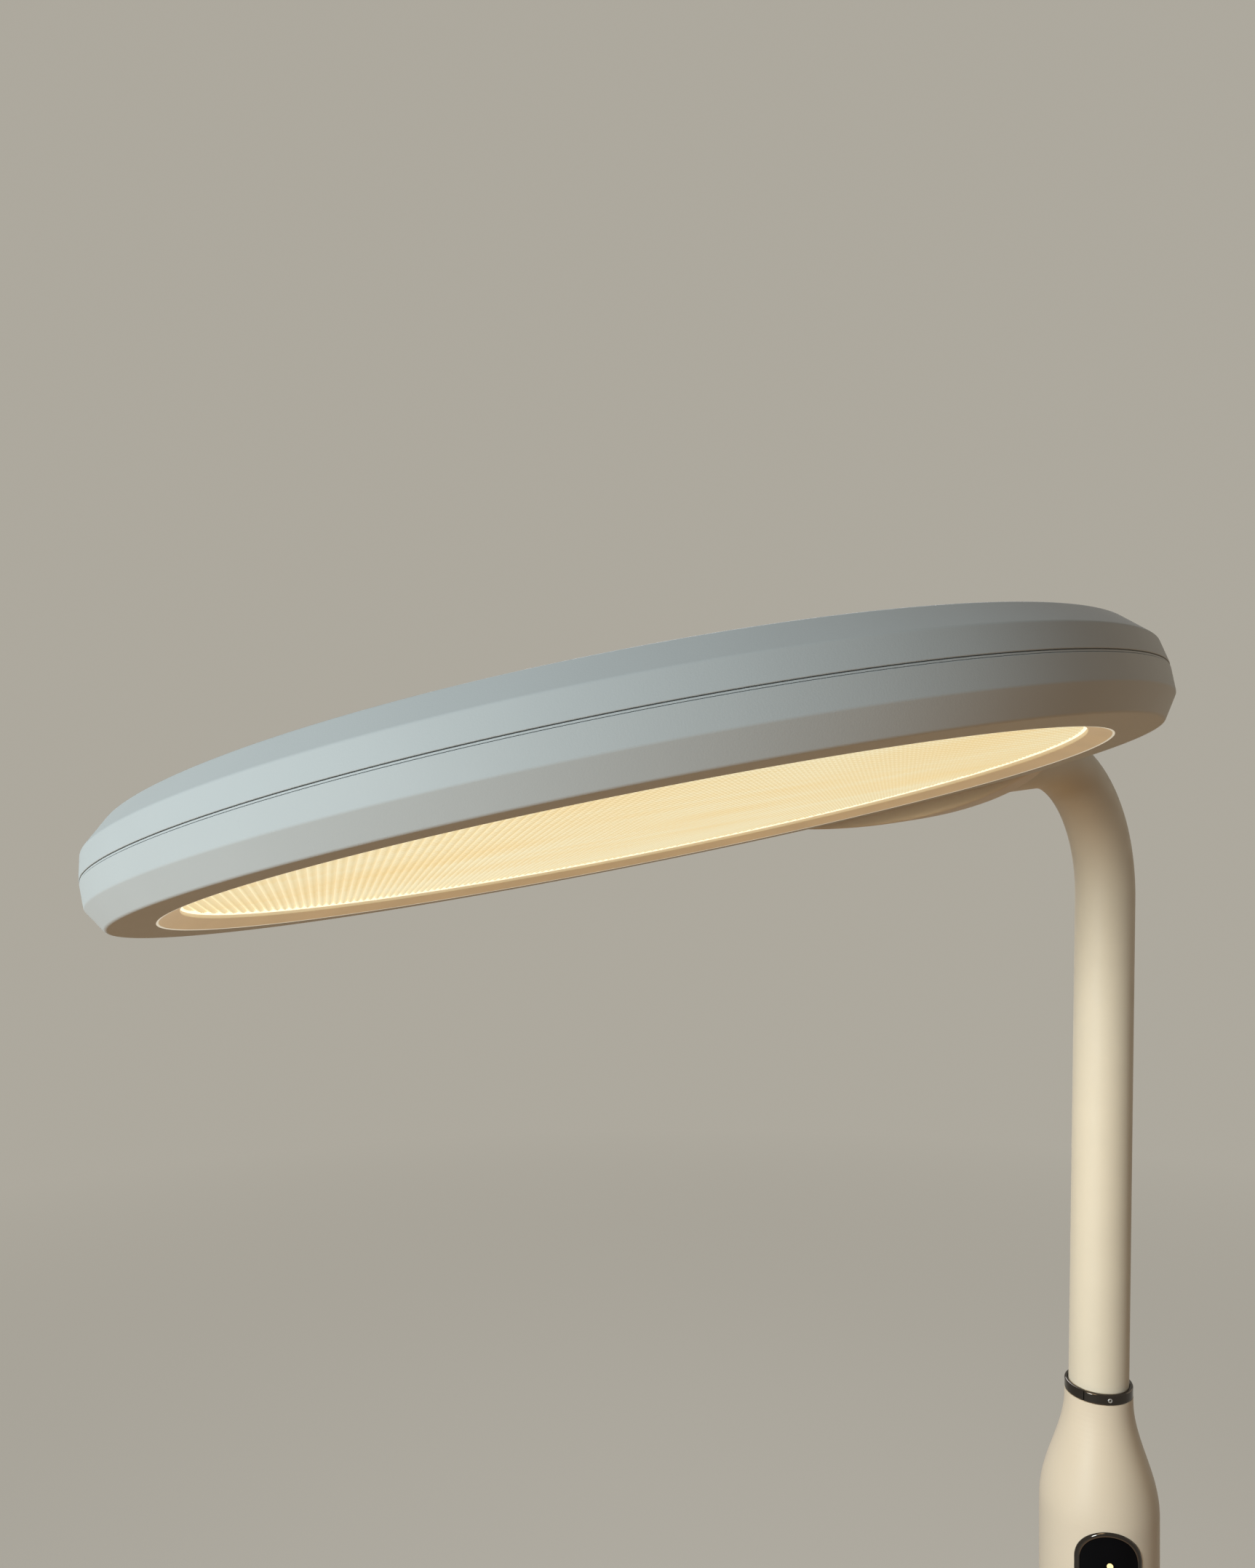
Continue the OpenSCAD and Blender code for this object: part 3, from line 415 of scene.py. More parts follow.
def finish_material(name, colour, roughness, grain, grain_depth, metallic=0.0, mottle=0.03,
                    rough_spread=0.06, stretch=(1, 1, 1), **sockets):
    """A moulded, painted or metal finish: faint mottling, uneven gloss and a fine surface grain."""
    material, tree, shader = node_material(name)
    vector = object_coordinates(tree, stretch)
    patches = spread(tree, noise(tree, vector, MOTTLE_SCALE), 0, 1)
    dark = [c * (1 - mottle) for c in colour]
    light = [min(1, c * (1 + mottle)) for c in colour]
    tree.links.new(between(tree, patches, dark, light), shader.inputs["Base Color"])
    smudges = noise(tree, vector, SMUDGE_SCALE, detail=4)
    gloss = spread(tree, smudges, roughness - rough_spread, roughness + rough_spread)
    tree.links.new(gloss, shader.inputs["Roughness"])
    height = noise(tree, vector, grain, detail=2)
    tree.links.new(bump(tree, height, grain_depth, GRAIN_HEIGHT), shader.inputs["Normal"])
    shader.inputs["Metallic"].default_value = metallic
    for socket, value in sockets.items():
        shader.inputs[socket.replace("_", " ")].default_value = value
    return material


white_plastic = finish_material(
    "white_plastic", HEAD_WHITE, roughness=0.58, grain=2600, grain_depth=0.10, mottle=0.012,
    rough_spread=0.015, Specular_IOR_Level=0.16)
ivory_plastic = finish_material(
    "ivory_plastic", CREAM, roughness=0.48, grain=2400, grain_depth=0.10, mottle=0.015,
    rough_spread=0.02, Specular_IOR_Level=0.30)
ivory_paint = finish_material(
    "ivory_paint", CREAM, roughness=0.55, grain=1800, grain_depth=0.14, mottle=0.015,
    rough_spread=0.015, Specular_IOR_Level=0.18)
silicone = finish_material(
    "silicone", IVORY, roughness=0.58, grain=1900, grain_depth=0.08, mottle=0.02, Sheen_Weight=0.12)
# The chrome's near-black base is a painted reflection of a dark room, on the metal's own tint
chrome = finish_material(
    "chrome", CHROME_WITH_PAINTED_DARK_REFLECTION, roughness=0.09, grain=400, grain_depth=0.015, metallic=1.0, rough_spread=0.03)
steel = finish_material(
    "zinc_steel", ZINC, roughness=0.34, grain=900, grain_depth=0.12, metallic=1.0, mottle=0.10)
iron = finish_material(
    "cast_iron", IRON_GREY, roughness=0.75, grain=500, grain_depth=0.6, metallic=0.6, mottle=0.25)
rubber = finish_material(
    "black_rubber", RUBBER_BLACK, roughness=0.72, grain=700, grain_depth=0.35, mottle=0.15)
aluminium = finish_material(
    "aluminium", ALUMINIUM_GREY, roughness=0.32, grain=300, grain_depth=0.1, metallic=1.0,
    stretch=(1, 6, 1))
board = finish_material(
    "circuit_board", BOARD_GREEN, roughness=0.38, grain=500, grain_depth=0.2, mottle=0.25)
black_parts = finish_material(
    "black_parts", PARTS_BLACK, roughness=0.35, grain=900, grain_depth=0.2, mottle=0.1)
panel_glass = finish_material(
    "panel_glass", GLASS_BLACK, roughness=0.08, grain=200, grain_depth=0.01, mottle=0.3,
    rough_spread=0.03, Specular_IOR_Level=0.04)
acrylic = finish_material(
    "clear_acrylic", CLEAR, roughness=0.08, grain=300, grain_depth=0.02, mottle=0.01)


# Glowing plastic: lit from within for the icons, LEDs and diffuser rim; on the head's bevel, painted light
# from the diffuser

GLOW_LEAST = 0.85
GLOW_SHADE = 0.9
GLOW_ROUGHNESS = 0.4
GLOW_GRAIN = 600
BEVEL_GRAIN = 60

ICON_GLOW = (1.0, 0.76, 0.36)
LED_GLOW = (1.0, 0.85, 0.55)
EDGE_GLOW = (1.0, 0.93, 0.74)
# The bevel's colour below is painted warm light from the diffuser; the bevel is no lamp
PAINTED_BEVEL_LIGHT = (1.0, 0.60, 0.24)


def glow_material(name, colour, strength, base, grain=GLOW_GRAIN):
    """Plastic that glows a little unevenly: lit from within, or painted light where it is used on the
    bevel.
    """
    material, tree, shader = node_material(name)
    vector = object_coordinates(tree)
    patches = spread(tree, noise(tree, vector, grain), GLOW_LEAST * strength, strength)
    tree.links.new(patches, shader.inputs["Emission Strength"])
    shade = between(tree, noise(tree, vector, grain / 2), [c * GLOW_SHADE for c in colour], colour)
    tree.links.new(shade, shader.inputs["Emission Color"])
    shader.inputs["Base Color"].default_value = (*base, 1)
    shader.inputs["Roughness"].default_value = GLOW_ROUGHNESS
    return material


icon_glow = glow_material("icon_glow", ICON_GLOW, strength=1.0, base=ICON_GLOW)
led_glow = glow_material("led_glow", LED_GLOW, strength=1.2, base=LED_GLOW)
edge_glow = glow_material("edge_glow", EDGE_GLOW, strength=1.0, base=EDGE_GLOW)
# The bevel and its edge are no lamps: their glow is painted light from the diffuser, and the edge's a
# painted highlight
painted_bevel_light = glow_material("painted_bevel_light", PAINTED_BEVEL_LIGHT, strength=0.26, base=HEAD_WHITE, grain=BEVEL_GRAIN)
painted_bevel_edge_highlight = glow_material(
    "painted_bevel_edge_highlight", EDGE_GLOW, strength=0.5, base=HEAD_WHITE, grain=BEVEL_GRAIN)


# Lit diffuser: its patterns lie in rows of prisms, and its light is warm or pale by facet, streak and patch

DIFFUSER_WARM = (0.99, 0.69, 0.26)
DIFFUSER_PALE = (0.99, 0.87, 0.54)
DIFFUSER_BASE = (0.22, 0.18, 0.10)
DIFFUSER_ROUGHNESS = 0.22
DIFFUSER_STRENGTH = (0.69, 0.79)
STREAK_STRETCH = (0.25, 0.025, 1)
STREAK_RANGE = (0.6, 1)
PATCH_STRETCH = (0.035, 0.025, 1)
PATCH_RANGE = (0.45, 1)
FACET_RANGE = (0.45, 1)
PALE_FROM = (0.05, 0.6)


def diffuser_material():
    """Lit prismatic sheet: facets on one side of a rib look paler, in soft streaks across the ribs."""
    material, tree, shader = node_material("diffuser")
    place = attribute(tree, "prism_place").outputs["Vector"]
    streaks = noise(tree, stretched(tree, place, STREAK_STRETCH), scale=1.0, detail=4, roughness=0.6)
    patches = noise(tree, stretched(tree, place, PATCH_STRETCH), scale=1.0, detail=2)
    streak_light = spread(tree, streaks, *STREAK_RANGE)
    patch_light = spread(tree, patches, *PATCH_RANGE)
    soft = combined(tree, "MULTIPLY", streak_light, patch_light)
    share = attribute(tree, "prism_facet").outputs["Fac"]
    lit = combined(tree, "MULTIPLY", soft, spread(tree, share, *FACET_RANGE, 0, 1))
    pale = spread(tree, lit, 0, 1, *PALE_FROM)
    tree.links.new(between(tree, pale, DIFFUSER_WARM, DIFFUSER_PALE), shader.inputs["Emission Color"])
    tree.links.new(spread(tree, share, *DIFFUSER_STRENGTH, 0, 1), shader.inputs["Emission Strength"])
    shader.inputs["Base Color"].default_value = (*DIFFUSER_BASE, 1)
    shader.inputs["Roughness"].default_value = DIFFUSER_ROUGHNESS
    return material


diffuser_glow = diffuser_material()


# Finishes of the carried CAD nodes

NODE_MATERIALS = {
    ivory_paint: ["base_cover", "pole_lower", "pole_upper"],
    ivory_plastic: ["housing_tail", "control_housing", "neck_end_collar", "head_bracket"],
    white_plastic: ["head_upper_shell", "head_lower_shell", "head_seam_ring", "panel_light_box",
                    "reflector_sheet", "led_strip"],
    silicone: ["neck_sleeve"],
    chrome: ["pole_collar", "panel_bezel", "neck_ring"],
    steel: ["base_plate", "base_screws", "pole_stud", "pole_stud_nut", "pole_foot_plug", "pole_coupling",
            "housing_screws", "neck_foot", "neck_nut", "ring_screw", "swivel_spindle", "swivel_washer",
            "swivel_nut", "bracket_screws", "head_screws"],
    iron: ["base_weight"],
    rubber: ["base_pad", "cord_gland", "neck_wire"],
    aluminium: ["back_plate"] + [f"neck_link_{i + 1}" for i in range(len(NECK_JOINTS))],
    board: ["touch_board", "driver_board"],
    black_parts: ["driver_components"],
    panel_glass: ["touch_panel"],
    acrylic: ["light_guide", "diffuser"],
    icon_glow: ["panel_icons"],
    led_glow: ["leds"],
}
for material, names in NODE_MATERIALS.items():
    for name in names:
        mesh = nodes[name].data
        mesh.materials.clear()
        mesh.materials.append(material)


def dress(piece, material):
    piece.data.materials.append(material)
    return piece


def ride_on(piece, body, *replaced):
    """Let a piece ride a body, in place of the CAD nodes it replaces."""
    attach(piece, body)
    if replaced:
        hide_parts(*replaced)


# Neck sleeve and supply wire: one piece of each per neck joint, cut in the middle of each link

def neck_angle(t):
    return min(max((t - NECK_RISE) / NECK_BEND_R, 0), NECK_BEND) - NECK_LEAN


def neck_place(t):
    """(point, direction across the neck in its plane) of the neck's centre line at length t."""
    up = Vector((0, 0, 1))
    start_normal = neck_out * math.cos(NECK_LEAN) + up * math.sin(NECK_LEAN)
    rise = neck_out * -math.sin(NECK_LEAN) + up * math.cos(NECK_LEAN)
    angle = neck_angle(t)
    normal = neck_out * math.cos(angle) - up * math.sin(angle)
    forward = neck_out * math.sin(angle) + up * math.cos(angle)
    if t <= NECK_RISE:
        return neck_foot + rise * t, normal
    centre = neck_foot + rise * NECK_RISE + start_normal * NECK_BEND_R
    return centre - normal * NECK_BEND_R + forward * max(0, t - NECK_RISE - NECK_ARC), normal


def neck_spokes(normal, sides):
    """Unit vectors across the neck, all the way round its centre line."""
    return [normal * math.cos(a) + neck_side * math.sin(a) for a in full_turn(sides)]


def length_at(point, longest):
    """Length along the neck where its centre line is nearest to point."""
    lengths = (longest * k / NECK_SEARCH_STEPS for k in range(NECK_SEARCH_STEPS + 1))
    return min(lengths, key=lambda t: (neck_place(t)[0] - point).length)


def even_lengths(t_start, t_stop, step):
    """Lengths along the neck from start to stop, about a step apart."""
    steps = max(FEWEST_STEPS, round((t_stop - t_start) / step))
    return [t_start + (t_stop - t_start) * k / steps for k in range(steps + 1)]


def sleeve_piece(name, t_start, t_stop):
    lengths = even_lengths(t_start, t_stop, SLEEVE_STEP)
    outside = [(t, SLEEVE_R, 1) for t in lengths]
    inside = [(t, SLEEVE_R - SLEEVE_WALL, -1) for t in reversed(lengths)]
    points, normals = [], []
    for t, radius, facing in outside + inside:
        place, normal = neck_place(t)
        for spoke in neck_spokes(normal, SLEEVE_SIDES):
            points.append(place + spoke * radius)
            normals.append(spoke * facing)
    faces = loft_faces(2 * len(lengths), SLEEVE_SIDES, True)
    mesh = mesh_from(name, points, faces, SLEEVE_SHARP_ANGLE)
    mesh.normals_split_custom_set_from_vertices(normals)
    return dress(new_object(name, mesh), silicone)


def wire_piece(name, t_start, t_stop):
    rows = []
    for t in even_lengths(t_start, t_stop, WIRE_STEP):
        place, normal = neck_place(t)
        rows.append([place + spoke * WIRE_R for spoke in neck_spokes(normal, WIRE_SIDES)])
    return dress(loft(name, rows, False), rubber)


neck_length = NECK_RISE + NECK_ARC
neck_length += (neck_end - neck_place(neck_length)[0]).length
bends = [length_at(Vector(joints[name]["pos_m"]), neck_length) for name in NECK_JOINTS]
link_middles = [(a + b) / 2 for a, b in zip(bends, bends[1:])]
sleeve_cuts = [SLEEVE_FOOT_GAP] + link_middles + [neck_length - NECK_END_GAP]
wire_length = neck_length + max((corner - neck_end).dot(arm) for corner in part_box("neck_wire"))
wire_cuts = [WIRE_START] + link_middles + [wire_length]


def bend_with(piece, i, replaced):
    """Bake a piece's place into its mesh, and for the first piece (joint 0) hide the CAD node it replaces.
    """
    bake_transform(piece)
    if i == 0:
        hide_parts(replaced)


for i in range(len(NECK_JOINTS)):
    sleeve = sleeve_piece(f"sleeve_{i + 1}", sleeve_cuts[i], sleeve_cuts[i + 1])
    bend_with(sleeve, i, "neck_sleeve")
    wire = wire_piece(f"wire_{i + 1}", wire_cuts[i], wire_cuts[i + 1])
    bend_with(wire, i, "neck_wire")


# Split ring at the neck's foot, with rolled edges, and its screw

def foot_ring():
    low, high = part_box("neck_ring")
    outer = half_width("neck_ring")
    height = high.z - low.z
    corners = [(outer - RING_WALL, 0), (outer, 0), (outer, height), (outer - RING_WALL, height)]
    outline = fillet(corners, [RING_INNER_EDGE, RING_EDGE, RING_EDGE, RING_INNER_EDGE])
    gap = RING_SPLIT_W / outer
    start, sweep = RING_SPLIT_AT + gap / 2, 2 * math.pi - gap
    piece = lathe("foot_ring", outline, Matrix.Translation(neck_foot), RING_SEGMENTS, start, sweep)
    ride_on(piece, "stand", "neck_ring")
    dress(piece, chrome)


def set_screw():
    """Socket screw in the ring, along a spoke of the neck's axis."""
    spoke = middle("ring_screw") - neck_foot
    place = neck_foot + Vector((0, 0, spoke.z))
    spoke.z = 0
    top = half_width("neck_ring") + SCREW_OUT
    corners = [(0, top - SCREW_LENGTH), (SCREW_R, top - SCREW_LENGTH), (SCREW_R, top), (SOCKET_R, top),
               (SOCKET_R, top - SOCKET_DEPTH), (0, top - SOCKET_DEPTH)]
    outline = fillet(corners, [0, 0, SCREW_EDGE, SOCKET_EDGE, 0, 0])
    matrix = Matrix.Translation(place) @ spoke.to_track_quat("Z", "Y").to_matrix().to_4x4()
    piece = lathe("set_screw", outline, matrix, SCREW_SEGMENTS)
    ride_on(piece, "stand", "ring_screw")
    dress(piece, steel)


# Touch panel: rounded bezel, dark windows and glowing symbols that follow the housing's curve

def on_curve(x, z, radius):
    """Point of the panel's front at (x, z), at a radius from the pole's axis."""
    return Vector((x, -math.sqrt(radius * radius - x * x), z))


def panel_bezel():
    low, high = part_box("panel_bezel")
    outer_r = half_width("panel_bezel")
    arc_r = outer_r - BEZEL_W / 2
    flank, crest = half_width("control_housing") + BEZEL_FLANK_OUT, -low.y
    profile = [(-1, flank - BEZEL_DEPTH), (-1, flank)]
    for k in range(1, BEZEL_CREST_STEPS):
        a = math.pi * k / BEZEL_CREST_STEPS
        profile.append((-math.cos(a), flank + (crest - flank) * math.sin(a)))
    profile += [(1, flank), (1, flank - BEZEL_DEPTH)]
    section = [(arc_r + across * BEZEL_W / 2, radius) for across, radius in profile]
    rows = []
    for centre, first in ((high.z - outer_r, 0), (low.z + outer_r, math.pi)):
        for k in range(BEZEL_ARC_STEPS + 1):
            a = first + math.pi * k / BEZEL_ARC_STEPS
            rows.append([on_curve(r * math.cos(a), centre + r * math.sin(a), radius)
                         for r, radius in section])
    piece = loft("bezel", rows)
    ride_on(piece, "stand", "panel_bezel")
    dress(piece, chrome)


def curved_plate(name, outlines, low_radius, high_radius):
    """Prisms on flat (x, z) outlines, bent to the panel's curve."""
    points, faces = [], []
    for outline in outlines:
        first, count = len(points), len(outline)
        for radius in (low_radius, high_radius):
            points += [on_curve(x, z, radius) for x, z in outline]
        for k in range(count):
            n = (k + 1) % count
            faces.append((first + k, first + n, first + count + n, first + count + k))
        faces += [tuple(range(first, first + count)), tuple(range(first + count, first + 2 * count))]
    return new_object(name, mesh_from(name, points, faces))


def arc(centre, radius, start, stop, steps=SYMBOL_ARC_STEPS):
    angles = [math.radians(start + (stop - start) * k / steps) for k in range(steps + 1)]
    return [(centre[0] + radius * math.cos(a), centre[1] + radius * math.sin(a)) for a in angles]


def stroke_arc(centre, radius, start, stop):
    half = SYMBOL_STROKE / 2
    return arc(centre, radius + half, start, stop) + arc(centre, radius - half, stop, start)


def bar(centre, width, height):
    """Bar with round ends; the long sides of a level one are cut into steps, to follow the curve."""
    x, z = centre
    radius = min(width, height) / 2
    if height > width:
        reach = height / 2 - radius
        upper = arc((x, z + reach), radius, 0, 180, BAR_END_STEPS)
        return upper + arc((x, z - reach), radius, 180, 360, BAR_END_STEPS)
    reach = width / 2 - radius
    across = [x + reach * (2 * k / BAR_STEPS - 1) for k in range(1, BAR_STEPS)]
    right = arc((x + reach, z), radius, -90, 90, BAR_END_STEPS)
    top = [(place, z + radius) for place in reversed(across)]
    left = arc((x - reach, z), radius, 90, 270, BAR_END_STEPS)
    bottom = [(place, z - radius) for place in across]
    return right + top + left + bottom


def bulb_sign(z, size):
    """Outlines of a bulb's glass and the two bars of its base."""
    glass = arc((0, z + BULB_UP * size), BULB_R * size, *BULB_ARC)
    bars = zip(BULB_BARS_UP, BULB_BARS_W)
    return [glass] + [bar((0, z + up * size), width * size, BULB_BAR_H * size) for up, width in bars]


def plus_sign(z, size):
    """Outline of a cross of two bars with round ends."""
    half = SYMBOL_STROKE / 2
    arm_end = arc((size - half, 0), half, -90, 90, BAR_END_STEPS) + [(half, half)]
    outline = []
    for turn in full_turn(4):
        outline += [(x * math.cos(turn) - y * math.sin(turn),
                     z + x * math.sin(turn) + y * math.cos(turn)) for x, y in arm_end]
    return [outline]


def minus_sign(z, size):
    return [bar((0, z), 2 * size, SYMBOL_STROKE)]


def power_sign(z, size):
    """Outlines of an open ring and the bar in its gap."""
    ring = stroke_arc((0, z), POWER_R * size, *POWER_ARC)
    return [ring, bar((0, z + POWER_BAR_UP * size), SYMBOL_STROKE, size)]


SIGNS = {
    "symbol_bulb": bulb_sign,
    "symbol_plus": plus_sign,
    "symbol_minus": minus_sign,
    "symbol_power": power_sign,
}


def panel_symbols():
    """Dark windows with the signs on them, from the top down."""
    low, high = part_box("panel_icons")
    icon_r = half_width("panel_icons")
    glass_r = -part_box("touch_panel")[0].y
    pitch = (high.z - low.z - 2 * icon_r) / (len(SIGNS) - 1)
    heights = [high.z - icon_r - k * pitch for k in range(len(SIGNS))]
    last_angle = 360 - 360 / WINDOW_SIDES
    circles = [arc((0, z), icon_r, 0, last_angle, WINDOW_SIDES - 1) for z in heights]
    windows = curved_plate("icon_windows", circles, glass_r - WINDOW_DEPTH, glass_r)
    ride_on(windows, "stand", "panel_icons")
    dress(windows, panel_glass)
    for z, (name, sign) in zip(heights, SIGNS.items()):
        outlines = sign(z, SYMBOL_SHARE * icon_r)
        piece = curved_plate(name, outlines, glass_r - SYMBOL_RISE, glass_r + SYMBOL_RISE)
        ride_on(piece, "stand")
        dress(piece, icon_glow)


foot_ring()
set_screw()
panel_bezel()
panel_symbols()


# Head shells with the crisp, slightly rounded edges of moulded plastic

def upper_shell():
    inner_r = UPPER_BAND_R - HEAD_WALL
    corners = [
        (0, HEAD_UP - HEAD_WALL), (UPPER_FLAT_R - WALL_LEAN, HEAD_UP - HEAD_WALL),
        (inner_r, BAND_H - WALL_LEAN), (inner_r, SEAM_HALF), (HEAD_R, SEAM_HALF),
        (UPPER_BAND_R, BAND_H), (UPPER_FLAT_R, HEAD_UP), (0, HEAD_UP),
    ]
    radii = [0, 0, 0, 0, FINE_EDGE, EDGE_ROUND, EDGE_ROUND, 0]
    piece = lathe("upper_shell", fillet(corners, radii), head_matrix)
    ride_on(piece, "head", "head_upper_shell")
    dress(piece, white_plastic)


def paint_bevel_light(mesh):
    """Paint the diffuser's light on the bevel as a glow, and a painted highlight on the rounded edge round
    it.
    """
    bevel_index = len(mesh.materials)
    mesh.materials.append(painted_bevel_light)
    mesh.materials.append(painted_bevel_edge_highlight)
    to_head = head_matrix.inverted()
    for face in mesh.polygons:
        place = to_head @ face.center
        radius = math.hypot(place.x, place.y)
        if LIP_R - BEVEL_MARGIN < radius < APERTURE_R + BEVEL_EDGE_HALF and place.z < LIP_TOP:
            on_edge = radius > APERTURE_R - BEVEL_EDGE_HALF
            face.material_index = bevel_index + 1 if on_edge else bevel_index


def lower_shell():
    inner_r = LOWER_BAND_R - HEAD_WALL
    corners = [
        (HEAD_R, -SEAM_HALF), (inner_r, -SEAM_HALF), (inner_r, -BAND_H + WALL_LEAN),
        (LOWER_FLAT_R - WALL_LEAN, LIP_TOP), (LIP_R, LIP_TOP), (LIP_R, LIP_LOW),
        (APERTURE_R, -HEAD_DOWN), (LOWER_FLAT_R, -HEAD_DOWN), (LOWER_BAND_R, -BAND_H),
    ]
    radii = [FINE_EDGE, 0, 0, 0, FINE_EDGE, LIP_ROUND, BEVEL_ROUND, EDGE_ROUND, EDGE_ROUND]
    piece = lathe("lower_shell", fillet(corners, radii), head_matrix)
    ride_on(piece, "head", "head_lower_shell")
    dress(piece, white_plastic)
    # painted light from the diffuser on the bevel, and a painted highlight on its edge
    paint_bevel_light(piece.data)


def seam_ring():
    inner_r = SEAM_RING_R - SEAM_RING_W
    corners = [(inner_r, SEAM_RING_LOW), (SEAM_RING_R, SEAM_RING_LOW),
               (SEAM_RING_R, SEAM_RING_HIGH), (inner_r, SEAM_RING_HIGH)]
    outline = fillet(corners, [0, SEAM_RING_EDGE, SEAM_RING_EDGE, 0], FINE_FILLET_STEPS)
    piece = lathe("seam_ring", outline, head_matrix)
    ride_on(piece, "head", "head_seam_ring")
    dress(piece, white_plastic)


# Prismatic diffuser

def prism_sheet(reach):
    """Closed sheet of pyramids, points down, out to a radius: its points, faces and each face's share."""
    count = math.ceil(reach / PRISM_PITCH) + 1
    turn = Matrix.Rotation(PRISM_TURN, 3, "Z")
    points, faces, shares, corners = [], [], [], {}
    peak = LIP_TOP + PRISM_SINK
    valley = peak + PRISM_DEPTH

    def corner(i, j, top):
        if (i, j, top) not in corners:
            corners[i, j, top] = len(points)
            height = LIP_TOP + DIFFUSER_T if top else valley
            points.append(turn @ Vector((i * PRISM_PITCH, j * PRISM_PITCH, height)))
        return corners[i, j, top]

    def inside(i, j):
        return math.hypot(i + 0.5, j + 0.5) * PRISM_PITCH < reach

    def add_face(face, share):
        faces.append(face)
        shares.append(share)

    for i in range(-count, count):
        for j in range(-count, count):
            if not inside(i, j):
                continue
            square = [(i, j), (i + 1, j), (i + 1, j + 1), (i, j + 1)]
            beside = [(i, j - 1), (i + 1, j), (i, j + 1), (i - 1, j)]
            apex = len(points)
            points.append(turn @ Vector(((i + 0.5) * PRISM_PITCH, (j + 0.5) * PRISM_PITCH, peak)))
            add_face([corner(*place, True) for place in square], 0)
            for k, share in enumerate(FACET_SHARES):
                first, second = square[k], square[(k + 1) % 4]
                add_face([corner(*second, False), corner(*first, False), apex], share)
                if not inside(*beside[k]):
                    edge = [corner(*first, False), corner(*second, False)]
                    add_face(edge + [corner(*second, True), corner(*first, True)], 0)
    return points, faces, shares


def diffuser_prisms():
    points, faces, shares = prism_sheet(DIFFUSER_RIM_R + PRISM_PITCH)
    mesh = bpy.data.meshes.new("diffuser_prisms")
    mesh.from_pydata([head_matrix @ point for point in points], [], faces)
    mesh.attributes.new("prism_facet", "FLOAT", "FACE").data.foreach_set("value", shares)
    rows = Matrix.Rotation(-PRISM_TURN, 3, "Z")
    places = [value / PRISM_PITCH for point in points for value in rows @ point]
    mesh.attributes.new("prism_place", "FLOAT_VECTOR", "POINT").data.foreach_set("vector", places)
    mesh.update()
    prisms = dress(new_object("diffuser_prisms", mesh), diffuser_glow)
    ride_on(prisms, "head", "diffuser")


def diffuser_rim():
    top = LIP_TOP + DIFFUSER_T
    corners = [(DIFFUSER_RIM_R, LIP_TOP), (DIFFUSER_R, LIP_TOP), (DIFFUSER_R, top), (DIFFUSER_RIM_R, top)]
    outline = fillet(corners, [FINE_EDGE, FINE_EDGE, 0, 0], FINE_FILLET_STEPS)
    rim = lathe("diffuser_rim", outline, head_matrix)
    ride_on(rim, "head")
    return dress(rim, edge_glow)


# Bracket: a copy of the solid with a closed boss and softened edges

def boss_end():
    """Ring that carries the bracket's boss on to the head's upper chamfer."""
    outline = list(zip(BOSS_END_X, BOSS_END_R)) + [(x, BOSS_HOLE_R) for x in reversed(BOSS_END_X)]
    points = [head_matrix @ Vector((x, r * math.cos(a), r * math.sin(a)))
              for a in full_turn(BOSS_SIDES) for x, r in outline]
    return mesh_from("boss_end", points, loft_faces(BOSS_SIDES, len(outline), True))


def press_into_head(mesh):
    """Press the bracket's thin edges into the shells, so that they meet the head in a clean line."""
    outline = [(UPPER_FLAT_R, HEAD_UP), (UPPER_BAND_R, BAND_H), (HEAD_R, 0), (LOWER_BAND_R, -BAND_H),
               (LOWER_FLAT_R, -HEAD_DOWN)]
    sides = [(Vector(outline[0]), Vector((0, 1))), (Vector(outline[-1]), Vector((0, -1)))]
    for above, below in zip(outline, outline[1:]):
        along = Vector(below) - Vector(above)
        sides.append((Vector(above), Vector((-along.y, along.x)).normalized()))
    to_head = head_matrix.inverted()
    for vertex in mesh.vertices:
        place = to_head @ vertex.co
        radius = math.hypot(place.x, place.y)
        section = Vector((radius, place.z))
        gap, normal = max(((section - point).dot(out), tuple(out)) for point, out in sides)
        if gap < PRESS_REACH:
            depth = PRESS_DEPTH * (1 - max(gap, 0) / PRESS_REACH)
            scale = 1 - normal[0] * depth / radius
            height = place.z - normal[1] * depth
            vertex.co = head_matrix @ Vector((place.x * scale, place.y * scale, height))


def bracket():
    work = bmesh.new()
    work.from_mesh(nodes["head_bracket"].data)
    work.from_mesh(boss_end())
    mesh = bpy.data.meshes.new("bracket")
    work.to_mesh(mesh)
    work.free()
    piece = new_object("bracket", mesh)
    remesh = piece.modifiers.new("remesh", "REMESH")
    remesh.mode = "VOXEL"
    remesh.voxel_size = BRACKET_VOXEL
    soften = piece.modifiers.new("soften", "SMOOTH")
    soften.factor = BRACKET_SOFTEN_SHARE
    soften.iterations = BRACKET_SOFTEN_TIMES
    evaluated = piece.evaluated_get(bpy.context.evaluated_depsgraph_get())
    shaped = bpy.data.meshes.new_from_object(evaluated)
    piece.modifiers.clear()
    piece.data = shaped
    shaped.materials.clear()
    press_into_head(shaped)
    smooth(shaped, BRACKET_SHARP_ANGLE)
    ride_on(piece, "head", "head_bracket")
    dress(piece, ivory_plastic)


upper_shell()
lower_shell()
seam_ring()
diffuser_prisms()
lit_rim = diffuser_rim()
bracket()


# Stage: a pale floor that runs into a plain backdrop. Seen directly, it shows a share of the backdrop,
# FADE_START, up to FADE_NEAR metres from the lamp's foot, and only the backdrop from FADE_FAR on

